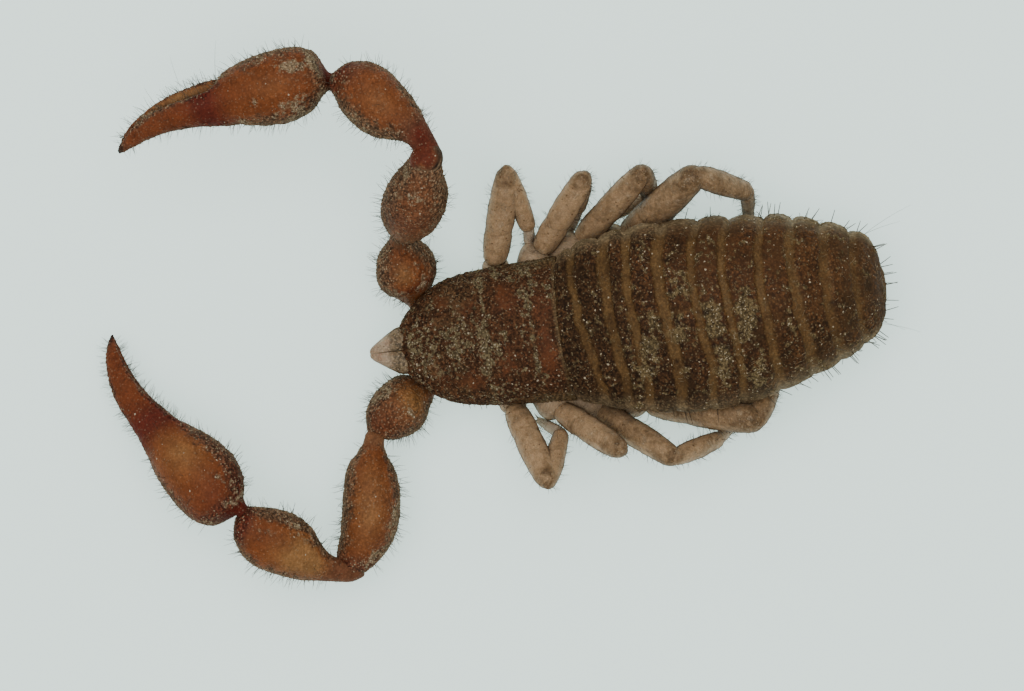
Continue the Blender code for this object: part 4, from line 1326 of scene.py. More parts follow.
@dataclass
class Palp:
    """A pincer arm: trochanter, femur, patella, and the hand with a fixed and a movable finger.

    Each row of a link holds a place as a share of its length, the inner and outer edge and the half depth.
    """

    side: str
    pose: tuple[Row, ...]
    hip: Row = (0.215, -0.7, 0.11)
    lengths: Row = (0.42, 0.665, 0.66, 1.18)
    trochanter: tuple[Row, ...] = (
        (-0.15, 0.05, 0.05, 0.055), (0.05, 0.085, 0.05, 0.062), (0.2, 0.145, 0.076, 0.096),
        (0.42, 0.172, 0.118, 0.16), (0.6, 0.168, 0.114, 0.164), (0.76, 0.148, 0.086, 0.132),
        (0.9, 0.105, 0.045, 0.075), (1.12, 0.05, 0.04, 0.05),
    )
    femur: tuple[Row, ...] = (
        (-0.08, 0.052, 0.052, 0.052), (0.05, 0.055, 0.058, 0.056), (0.12, 0.07, 0.084, 0.074),
        (0.21, 0.104, 0.134, 0.106), (0.32, 0.113, 0.168, 0.14), (0.46, 0.108, 0.19, 0.158),
        (0.62, 0.096, 0.2, 0.16), (0.76, 0.084, 0.186, 0.146), (0.88, 0.084, 0.152, 0.104),
        (0.97, 0.078, 0.116, 0.086), (1.06, 0.05, 0.068, 0.062), (1.12, 0.015, 0.02, 0.02),
    )
    patella: tuple[Row, ...] = (
        (-0.14, 0.0, 0.04, 0.03), (-0.06, 0.034, 0.078, 0.056), (0.02, 0.03, 0.104, 0.064),
        (0.11, 0.006, 0.128, 0.07), (0.2, 0.0, 0.152, 0.08), (0.3, 0.028, 0.18, 0.104),
        (0.42, 0.078, 0.202, 0.128), (0.56, 0.102, 0.218, 0.14), (0.7, 0.098, 0.224, 0.14),
        (0.82, 0.076, 0.206, 0.126), (0.92, 0.05, 0.16, 0.1), (1.0, 0.04, 0.112, 0.078),
    )
    chela: tuple[Row, ...] = (
        (-0.04, 0.042, 0.048, 0.044), (0.012, 0.04, 0.062, 0.052), (0.03, 0.04, 0.15, 0.098),
        (0.065, 0.06, 0.202, 0.13), (0.12, 0.108, 0.236, 0.156), (0.2, 0.134, 0.252, 0.17),
        (0.29, 0.125, 0.256, 0.168), (0.38, 0.09, 0.245, 0.155), (0.45, 0.05, 0.226, 0.14),
        (0.5, 0.022, 0.206, 0.128), (0.6, -0.018, 0.194, 0.112), (0.72, -0.042, 0.186, 0.09),
        (0.85, -0.036, 0.144, 0.066), (0.94, -0.014, 0.084, 0.044), (1.0, 0.004, 0.014, 0.014),
    )
    finger_place: float = 0.46
    finger_share: float = 0.47
    cupped: tuple[str, str] = ("patella", "right")
    cup_sizes: Row = (0.09, 0.084, 0.072, -0.02)
    cup_grid: Grid = (34, 72)
    big_grain: float = 0.0135
    small_grain: float = 0.0075
    rises: tuple[float, float, float] = (0.0048, 0.0014, 0.004)

    def __post_init__(self) -> None:
        """Works out the joints and each link's axes."""
        sign = SIDES[self.side]
        self.axes = [link_axes(sign, *angles) for angles in self.pose]
        joint = np.array([sign * self.hip[0], self.hip[1], self.hip[2]])
        self.joints = [joint]
        for axes, length in zip(self.axes, self.lengths):
            joint = joint + axes[0] * length
            self.joints.append(joint)
        self.seed = 200 if self.side == "left" else 400

    def link(self, number: int, rows: Sequence[Row], span: Pair, caps: Pair, grid: Grid) -> Link:
        """A link of this arm by its number from the hip."""
        return Link(self.joints[number], self.axes[number], self.lengths[number], rows, span, caps, grid)

    def make(self, name: str, skins: Sequence[Surface], finishes: Finishes) -> None:
        """Makes the piece of one of the arm's solids."""
        shell(f"palp_{name}_{self.side}", skins, finishes.palp)

    def dress(self, name: str, number: int, surface: Surface, t: Array) -> None:
        """Raises the grains and writes the masks: clear middle, dark grainy rims, red neck, crust patches,
        and a pale rim painted as light on the steep sides.

        Args:
            name: The link's name.
            number: The link's number from the hip.
            surface: The bare link.
            t: The rings' places.
        """
        look = PALP_LOOKS[name, self.side]
        edge_on = ease(0.55, 0.12, np.abs(surface.normals()[..., 2]))
        seed = self.seed + 60 * number + (30 if name == "finger" else 0)
        spots = surface.points.copy()
        along = self.axes[number][0]
        inward = SIDES[self.side] * np.array([along[1], -along[0], 0.0]) / math.hypot(along[0], along[1])
        across = (spots - spots.mean(axis=1, keepdims=True)) @ inward
        across = across / np.abs(across).max(axis=1, keepdims=True)
        place = t[:, None]
        above = ease(-0.2, 0.3, surface.normals()[..., 2])
        patchy, fine = cloud(spots, 0.1, seed), cloud(spots, 0.032, seed + 1)
        neck = ease(look.socket[1], look.socket[0], t)[:, None] * np.ones_like(across)
        ends = ease(1.04, 0.9, place)
        edge = across + 0.14 * patchy + 0.16 * fine + 0.08 * cloud(spots, 0.016, seed + 2, 2)
        shoulder = 0.22 + 0.7 * min(look.rim_in, look.rim_out)
        rim_in = look.rim_in * (1 - 0.65 * ease(0.36, 0.5, place) * (number == 3))
        inside = ease(0, 1, (1 - rim_in - edge) / shoulder + 0.5)
        outside = ease(0, 1, (edge + 1 - look.rim_out) / shoulder + 0.5)
        base = ease(0.085, 0.045, place) * (1 - neck) * (number == 3)
        flush = look.red[2] * bell(place - look.red[0], look.red[1]) * (1 - 0.3 * fine)
        amber = inside * outside * ends * (1 - neck) * look.clear * (1 - 0.75 * base)
        amber = amber * (1 - 0.5 * held(flush) * (number == 2))
        amber = held(amber + look.neck_clear * neck * above)
        big, label = beads(spots, self.big_grain, seed + 20)
        small, _ = beads(spots, self.small_grain, seed + 30, SMALL_FILL)
        reach = patches(place, across, look.crusts) * above + 0.45 * base
        # Painted light: a pale rim on the steep sides, away from the neck, laid on through the crust mask.
        painted_rim_light = look.painted_rim_light * edge_on * held(0.7 + 0.6 * fine) * (1 - neck)
        rough = held(1 - 0.9 * amber) * (1 - 0.85 * neck)
        grain, dust, swell = self.rises
        surface.push(grain * big * rough + dust * small + swell * fine * held(rough + reach))
        litter = 0.7 * cloud(spots, 0.045, seed + 50, 3) + 0.7 * cloud(spots, 0.018, seed + 54, 2)
        grime = 0.8 * litter + 0.95 * reach + look.crust + 0.15 * rough + 0.25 * (label - 0.5)
        dirt = ease(0.45, 1.05, grime) * held(1 - 0.75 * amber + reach) * (1 - neck)
        ruddy = look.rim_red * rough * (1 - dirt)
        fair_neck = neck * (1 - look.neck_red)
        ochre = patches(place, across, (look.ochre,)) * (0.85 + 0.4 * patchy) * amber
        surface.masks = {
            "amber": held(amber + 0.1 * patchy + 0.5 * fair_neck),
            "soft": held(ochre + 0.25 * fair_neck),
            "side": held(neck * look.neck_red * (0.8 + 0.3 * patchy) + flush + 0.6 * ruddy),
            "crust": np.clip(dirt + painted_rim_light, 0, 0.8),
            "grit": np.clip(rough + 0.45 * reach + 0.25 * ease(-0.4, 0.8, fine), 0.15, 1),
            "tip": 0.6 * ease(0.32, 0.62, cloud(spots, 0.02, seed + 55)) * held(reach),
            "relief": held(0.5 + rough * (big - 0.5)),
        }

    def build(self, finishes: Finishes) -> dict[str, tuple[Surface, Array]]:
        """Makes the arm's five pieces.

        Args:
            finishes: The materials.

        Returns:
            Each skin with its rings' places, by link.
        """
        made = {}
        plan = (
            ("trochanter", self.trochanter, (-0.1, 1.02), (0.08, 0.2), (120, 180)),
            ("femur", self.femur, (-0.07, 1.1), (0.06, 0.14), (180, 210)),
            ("patella", self.patella, (-0.13, 1.01), (0.08, 0.07), (180, 210)),
        )
        for number, (name, rows, span, caps, grid) in enumerate(plan):
            surface, t, _ = self.link(number, rows, span, caps, grid).shape()
            self.dress(name, number, surface, t)
            skins = [surface, self.cup(number)] if (name, self.side) == self.cupped else [surface]
            self.make(name, skins, finishes)
            made[name] = (surface, t)
        made["hand"] = self.hand(finishes)
        made["finger"] = self.finger(finishes)
        return made

    def cup(self, number: int) -> Surface:
        """The ball that a link's neck ends in, where it sits in the link before it: dark on its outer edge.

        Args:
            number: The number of the link that starts at the joint.

        Returns:
            The dressed surface.
        """
        wide, long, deep, sink = self.cup_sizes
        rise = np.linspace(0, math.pi, self.cup_grid[0])[1:-1, None]
        turn = circle(self.cup_grid[1])[None]
        along = self.axes[number][0]
        ahead = np.array([along[0], along[1], 0.0]) / math.hypot(along[0], along[1])
        aside = SIDES[self.side] * np.array([ahead[1], -ahead[0], 0.0])
        middle, tall = self.joints[number] - sink * UP, deep * UP
        across, forth, up = np.sin(rise) * np.cos(turn), np.sin(rise) * np.sin(turn), np.cos(rise) + 0 * turn
        points = middle + (wide * across)[..., None] * aside + (long * forth)[..., None] * ahead
        points = points + (deep * up)[..., None] * UP
        surface = Surface(points, (middle + tall, middle - tall))
        fine = cloud(points, 0.03, self.seed + 7)
        radius = np.sin(rise) + 0.04 * fine
        outer, lower = -0.65 * across - 0.76 * forth, 0.76 * across - 0.65 * forth
        groove = bell(radius - 0.74, 0.05) * ease(0.1, 0.5, lower)
        surface.push(0.002 * fine - 0.004 * groove)
        crescent = ease(0.5, 0.8, radius) * ease(0.2, 0.7, outer)
        ridge = bell(radius - 0.86, 0.05) * ease(0.2, 0.7, lower + 0.4 * outer)
        away = ease(0.45, -0.15, forth)
        caked = 0.5 * ease(0.2, 0.8, across) * ease(0.5, 0.8, radius) + 0.45 * ridge
        surface.masks = {
            "amber": held(0.6 + 0.2 * fine - 0.6 * ease(0.5, 0.9, radius) * away),
            "side": held(0.85 * ease(0.95, 0.25, radius - 0.5 * (1 - away))),
            "soft": 0.3 * ease(0.0, 0.6, fine) * ease(-0.1, 0.6, across) * away,
            "crust": np.clip(caked * away, 0, 0.8),
            "grit": np.full(up.shape, 0.3),
            "tip": held(0.7 * crescent * (1 - ridge) + 0.45 * groove),
        }
        return surface

    def hand(self, finishes: Finishes) -> tuple[Surface, Array]:
        """The hand, whose rings draw up over the finger's root into the fixed finger."""
        link = self.link(3, self.chela, (-0.035, 1.0), (0.03, 0.02), (250, 210))
        t = link.places()
        fork = ease(self.finger_place - 0.03, self.finger_place + 0.055, t)
        share = self.finger_share
        surface, t, angles = link.shape(1 - (1 - share) * fork, (share + 0.02) * fork)
        self.dress("hand", 3, surface, t)
        self.mark_finger(surface, t, angles, -1)
        self.make("hand", [surface], finishes)
        return surface, t

    def finger(self, finishes: Finishes) -> tuple[Surface, Array]:
        """The movable finger below the fixed one, rooted in the hand."""
        link = self.link(3, self.chela, (self.finger_place - 0.02, 1.005), (0.14, 0.02), (130, 120))
        t = link.places()
        share = np.full(len(t), self.finger_share)
        surface, t, angles = link.shape(share, -(share + 0.02))
        self.dress("finger", 3, surface, t)
        self.mark_finger(surface, t, angles, 1)
        self.make("finger", [surface], finishes)
        return surface, t

    def mark_finger(self, surface: Surface, t: Array, angles: Array, facing: int) -> None:
        """Deep red finger roots, dark tips, and a dark line along the edges that meet.

        Args:
            surface: The hand or finger.
            t: The rings' places.
            angles: The columns' angles.
            facing: Which way the meeting edge faces: 1 up, -1 down.
        """
        root = bell(t - 0.55, 0.085)[:, None]
        bite = ease(0.55, 0.95, facing * np.sin(angles))[None] * ease(0.47, 0.56, t)[:, None]
        tip = ease(0.955, 0.995, t)[:, None]
        red = root * (1.0 if facing < 0 else 0.45) + 0.25 * ease(0.5, 0.7, t)[:, None]
        surface.masks["side"] = held(surface.masks["side"] + red)
        surface.masks["tip"] = held(surface.masks["tip"] + 0.85 * tip + 0.55 * bite)


@dataclass(frozen=True)
class LegPlan:
    """The sizes of one pair of legs, in millimetres, and how dark they are."""

    lengths: Row
    widths: Row
    place: float
    reach: float
    shade: float
    hip_share: float = 1.0


@dataclass
class Leg:
    """A walking leg: trochanter and femur, tibia, and tarsus with two claws.

    Each row of a link holds a place as a share of its length and the half width as a share of the link's own.
    The ends hold each link's first and last place, how far its ends round off, and its rings and columns.
    """

    number: int
    side: str
    plan: LegPlan
    pose: tuple
    level: float = 0.105
    trochanter: tuple[Pair, ...] = ((-0.6, 1.0), (0.0, 1.18), (0.45, 1.28), (0.8, 1.14), (1.0, 0.98))
    femur: tuple[Pair, ...] = (
        (-0.08, 0.74), (0.02, 0.86), (0.16, 0.97), (0.29, 1.0), (0.35, 0.965), (0.41, 1.0), (0.6, 1.0),
        (0.8, 0.93), (0.93, 0.82), (1.02, 0.64), (1.09, 0.42),
    )
    suture: float = 0.34
    tibia: tuple[Pair, ...] = (
        (-0.12, 0.4), (-0.04, 0.62), (0.12, 0.88), (0.4, 1.0), (0.75, 0.9), (1.0, 0.72), (1.1, 0.5),
    )
    tarsus: tuple[Pair, ...] = (
        (-0.1, 0.85), (0.0, 0.98), (0.35, 1.0), (0.75, 0.78), (1.0, 0.6), (1.25, 0.5),
    )
    ends: tuple[tuple[Pair, Pair, Grid], ...] = (
        ((-0.45, 1.0), (0.2, 0.35), (36, 60)), ((-0.07, 1.06), (0.1, 0.1), (110, 76)),
        ((-0.12, 1.04), (0.12, 0.1), (76, 60)), ((-0.1, 1.0), (0.1, 0.08), (56, 46)),
    )
    depth: float = 1.1
    fold_length: float = 0.011
    line_count: int = 17
    grain: float = 0.0075
    fine_rises: tuple[float, float, float] = (0.0004, 0.0006, 0.0009)
    swells: Pair = (0.0026, 0.0016)
    seam_depth: float = 0.0022
    claw_grid: Grid = (12, 8)
    claw_gap: Pair = (0.007, 0.012)
    claw_lift: float = 0.012
    claw_length: float = 0.034
    claw_bend: float = 0.01
    claw_radius: float = 0.0055
    claw_taper: float = 0.85
    claw_point: float = 0.002
    claw_tone: float = 0.55

    def __post_init__(self) -> None:
        """Works out the joints; the tarsus drops from the ankle to the floor."""
        sign = SIDES[self.side]
        first, second, third, tarsus_turn = self.pose
        self.frames = [link_axes(sign, *angles) for angles in (first, second, third)]
        self.joints = [np.array([sign * self.plan.reach, self.plan.place, self.level])]
        for axes, length in zip(self.frames, self.plan.lengths):
            self.joints.append(self.joints[-1] + axes[0] * length)
        drop = -math.degrees(math.asin(min(0.98, self.joints[3][2] / self.plan.lengths[3])))
        self.frames.append(link_axes(sign, tarsus_turn, drop))
        self.seed = 600 + 40 * self.number + (0 if sign > 0 else 20)

    def tube(
        self, number: int, rows: Sequence[Pair], width: float, span: Pair, caps: Pair, grid: Grid
    ) -> Surface:
        """One link with fine wrinkles across it, striations along it, and its masks, among them a painted
        dark outline on its steep sides and painted light on its sloping sides.

        Args:
            number: The link's number from the hip.
            rows: Places and half widths as shares of the link's own.
            width: The link's half width.
            span: Its first and last place.
            caps: How far each end rounds off.
            grid: Its rings and columns.

        Returns:
            The dressed surface.
        """
        table = [(t, share * width, share * width, share * width * self.depth) for t, share in rows]
        length = self.plan.lengths[number]
        link = Link(self.joints[number], self.frames[number], length, table, span, caps, grid)
        surface, t, angles = link.shape()
        spots = surface.points.copy()
        seed = self.seed + number
        shade = self.plan.shade
        facing = np.abs(surface.normals()[..., 2])
        patchy = cloud(spots, 0.06, seed)
        fine = cloud(spots, 0.022, seed + 2)
        waves = math.tau * t[:, None] * length / self.fold_length
        folds = np.sin(waves + 6 * cloud(spots, 0.05, seed + 3))
        lines = np.sin(angles[None] * self.line_count + 3 * cloud(spots, 0.05, seed + 4))
        small, _ = beads(spots, self.grain, seed + 5, SMALL_FILL)
        slant = t[:, None] + 0.035 * np.cos(angles)[None]
        seam = bell(slant - self.suture, 0.01) * (number == 1)
        fold, line, grain = self.fine_rises
        height = fold * folds * ease(0.0, 0.5, patchy) + line * lines * shade + grain * small
        surface.push(height + self.swells[0] * patchy + self.swells[1] * fine - self.seam_depth * seam)
        # Painted shade: a dark outline along the steep sides, where the link turns down; it darkens the
        # colour and adds grit there.
        edge = ease(0.42, 0.1, facing)
        # Painted light: the sloping sides between the top and the outline are made paler.
        painted_side_light = ease(0.85, 0.35, facing) * (1 - edge)
        first, last = span
        joint = np.maximum(ease(first + 0.1, first + 0.02, t), ease(last - 0.22, last - 0.02, t))[:, None]
        blotch = ease(0.35, 0.9, cloud(spots, 0.045, seed + 8))
        knee = ease(0.72, 1.02, t)[:, None] * (number == 1) + ease(0.18, -0.04, t)[:, None] * (number == 2)
        base = 0.7 * shade + 0.35 * shade * (number == 3)
        dark = edge + 0.3 * joint * (number < 3) + 0.4 * knee + base + 0.5 * patchy + 0.5 * seam
        dark = dark - 0.05 * painted_side_light - 0.25 * shade * (number == 1) * ease(0.5, 0.1, t)[:, None] - 0.06
        foot = 0.8 * (number == 3) * max(0.0, 1 - 1.5 * shade)
        surface.masks = {
            "amber": 1 - held(dark + 0.45 * fine + 0.3 * blotch),
            "side": held(0.6 * shade * (0.5 + 0.5 * lines) * (1 - edge) + 0.35 * blotch * joint),
            "soft": held((foot + 0.3 * (number == 0)) * (1 - 0.6 * edge) + 0.1 * painted_side_light),
            "crust": 0.35 * ease(0.25, 0.75, cloud(spots, 0.03, seed + 7)) * (1 - edge),
            "grit": np.full(edge.shape, 0.1 + 0.2 * shade) + 0.25 * edge + 0.2 * joint,
            # The relief here also carries the wrinkles and the painted side light, which the material paints
            # as shade and light.
            "relief": held(0.5 + 0.35 * (small - 0.5) + 0.12 * folds * ease(-0.2, 0.4, patchy) + 0.1 * painted_side_light),
        }
        return surface

    def claws(self) -> list[Surface]:
        """Two curved claws side by side at the foot's end: tapered tubes bent down to the floor."""
        along, inner, _ = self.frames[3]
        flat = np.array([along[0], along[1], 0.0])
        flat /= max(np.linalg.norm(flat), 1e-6)
        tip = self.joints[3] + along * self.plan.lengths[3] + self.claw_lift * UP
        s = np.linspace(0, 1, self.claw_grid[0])[:, None]
        turn = circle(self.claw_grid[1])
        ring = np.cos(turn)[:, None] * inner + np.sin(turn)[:, None] * UP
        radius = self.claw_radius * (1 - self.claw_taper * s)
        arch = self.claw_bend * s * (1 - s) * 4 - self.claw_bend * s
        made = []
        for side in (-1, 1):
            spread = inner * side * (self.claw_gap[0] + self.claw_gap[1] * s)
            middle = tip + flat * self.claw_length * s + spread + UP * arch
            points = on_floor(middle[:, None] + radius[:, None] * ring[None])
            surface = Surface(points, (middle[0], middle[-1] + flat * self.claw_point))
            surface.masks = {"tip": np.full(points.shape[:2], self.claw_tone)}
            made.append(surface)
        return made

    def build(self, finishes: Finishes) -> list[Surface]:
        """Makes the leg's three pieces.

        Args:
            finishes: The materials.

        Returns:
            The long skins, for hairs.
        """
        tables = (self.trochanter, self.femur, self.tibia, self.tarsus)
        widths = (self.plan.widths[0] * self.plan.hip_share, *self.plan.widths)
        root, femur, tibia, tarsus = (
            self.tube(number, tables[number], widths[number], *self.ends[number]) for number in range(4)
        )
        skins = {"femur": [root, femur], "tibia": [tibia], "tarsus": [tarsus, *self.claws()]}
        for name, surfaces in skins.items():
            shell(f"leg_{self.number}_{name}_{self.side}", surfaces, finishes.leg)
        return [femur, tibia, tarsus]


@dataclass
class Underside:
    """The coxae: flat wedges from the middle line out to the hips.

    Each plan holds a name, the front and rear at the middle line, the same at the hip, and the reach.
    """

    plans: tuple[tuple, ...] = (
        ("palp_coxa", -0.825, -0.56, -0.8, -0.52, 0.226),
        ("coxa_1", -0.548, -0.35, -0.508, -0.195, 0.32),
        ("coxa_2", -0.338, -0.18, -0.183, -0.022, 0.335),
        ("coxa_3", -0.168, 0.01, -0.01, 0.135, 0.345),
        ("coxa_4", 0.022, 0.345, 0.147, 0.345, 0.358),
    )
    floor: float = 0.03
    roof: float = 0.195
    power: float = 3.0
    grid: Grid = (46, 64)
    grain: float = 0.01
    palp_hip: Pair = (0.215, -0.7)
    hip_slope: float = math.tan(math.radians(40))

    def shape(self, plan: tuple, sign: int, seed: int) -> Surface:
        """A wedge: superellipse sections whose front and rear slide evenly from the middle line to the hip.

        Args:
            plan: Name, four places and the reach.
            sign: 1 on the left and -1 on the right.
            seed: Picks the grain.

        Returns:
            The dressed surface.
        """
        name, front_in, rear_in, front_out, rear_out, reach = plan
        t = np.linspace(0, 1, self.grid[0])
        across, up = power_arc(circle(self.grid[1]), self.power)
        full = np.sqrt(1 - (1 - held(t / 0.05)) ** 2 * 0.98) * (1 - 0.16 * ease(0.8, 1.0, t))
        front = (front_in + t * (front_out - front_in))[:, None]
        rear = (rear_in + t * (rear_out - rear_in))[:, None]
        half = (rear - front) / 2 * full[:, None]
        level, depth = (self.floor + self.roof) / 2, (self.roof - self.floor) / 2
        y = (front + rear) / 2 + half * across
        z = level + depth * full[:, None] * up
        x = sign * (GAP / 2 + t[:, None] * (reach - GAP)) + 0 * y
        if name == "palp_coxa":
            hip = self.palp_hip[0] + (y - self.palp_hip[1]) * self.hip_slope - GAP
            x = sign * np.minimum(np.abs(x), np.maximum(hip, 0.02))
        points = np.stack([x, y, z], axis=-1)
        surface = closed(points)
        small, _ = beads(points, self.grain, seed, SMALL_FILL)
        patchy = cloud(points, 0.08, seed + 2)
        surface.push(0.001 * small + 0.002 * patchy)
        surface.masks = {
            "amber": held(0.65 + 0.3 * patchy - 0.5 * ease(0.7, 1.0, np.abs(across))[None]),
            "relief": held(0.5 + 0.4 * (small - 0.5)),
        }
        return surface

    def build(self, finishes: Finishes) -> None:
        """Makes the ten wedges."""
        for side, sign in SIDES.items():
            for number, plan in enumerate(self.plans):
                surface = self.shape(plan, sign, 900 + 10 * number + sign)
                shell(f"{plan[0]}_{side}", [surface], finishes.leg)


@dataclass
class Chelicerae:
    """The two small jaws ahead of the carapace, side by side, each ending in a fixed and a movable finger.

    Each of their rows holds a place ahead of the root, the half depth and the outer edge.
    """

    rows: tuple[Row, ...] = (
        (-0.04, 0.064, 0.126), (0.0, 0.062, 0.12), (0.04, 0.058, 0.098), (0.08, 0.047, 0.072),
        (0.115, 0.034, 0.048), (0.134, 0.025, 0.034), (0.146, 0.012, 0.02),
    )
    root: float = -0.846
    level: float = 0.225
    shift: float = 0.016
    tucked: float = 0.006
    beyond: Row = (0.0, -0.004, 0.0)
    grid: Grid = (70, 84)
    line_count: int = 11
    line_length: float = 0.14
    inner_power: float = 4.0
    inner_flatness: float = 0.45
    grain: float = 0.008
    grain_fill: float = 0.5

    def shape(self, sign: int) -> Surface:
        """A tapered tube from its root to the tip, the inner side near the middle line.

        Args:
            sign: 1 on the left and -1 on the right.

        Returns:
            The dressed surface.
        """
        ahead = np.linspace(self.rows[0][0], self.rows[-1][0], self.grid[0])
        depth, outer = columns(self.rows, ahead)
        angles = circle(self.grid[1])
        half = (outer - GAP / 2) / 2
        inward = np.cos(angles) < 0
        across = np.where(inward, -np.abs(np.cos(angles)) ** self.inner_flatness, np.cos(angles))
        x = sign * (GAP / 2 + half + half * across - self.tucked * inward) + self.shift
        z = self.level + depth * np.where(inward, power_arc(angles, self.inner_power)[1], np.sin(angles))
        y = self.root - ahead[:, None] + 0 * x
        points = np.stack([x, y, z], axis=-1)
        surface = closed(points, self.beyond)
        drift = 4 * ahead[:, None] / self.line_length
        lines = np.sin(angles * self.line_count + drift + 2 * cloud(points, 0.05, 940 + sign))
        small, _ = beads(points, self.grain, 950 + sign, self.grain_fill)
        surface.push(0.001 * lines + 0.0006 * small)
        groove = ease(0.75, 1.0, 1 - np.abs(lines))
        base = ease(0.075, 0.005, ahead)[:, None]
        tip = ease(0.07, 0.14, ahead)[:, None]
        edge = ease(0.8, 1.0, np.cos(angles))[None]
        patchy = cloud(points, 0.035, 960 + sign)
        surface.masks = {
            "amber": held(1 - 0.35 * groove - 0.8 * base - 0.85 * edge + 0.25 * patchy),
            "side": held(0.7 * tip * (0.3 + groove) + 0.4 * ease(0.1, 0.7, patchy)),
            "crust": 0.7 * base * ease(-0.1, 0.5, patchy),
            "grit": held(0.7 * base + 0.25 + 0 * groove),
            "relief": held(0.5 + 0.3 * (small - 0.5)),
        }
        return surface

    def build(self, finishes: Finishes) -> None:
        """Makes the two jaws."""
        for side, sign in SIDES.items():
            shell(f"chelicera_{side}", [self.shape(sign)], finishes.jaw)


# Hairs on the animal


def perch(surface: Surface, x: float, y: float, pull: float = 0.004) -> Array:
    """The skin's highest point near a place seen from above: least squared distance minus a little height."""
    spots = surface.points.reshape(-1, 3)
    away = (spots[:, 0] - x) ** 2 + (spots[:, 1] - y) ** 2 - pull * spots[:, 2]
    return spots[np.argmin(away)]


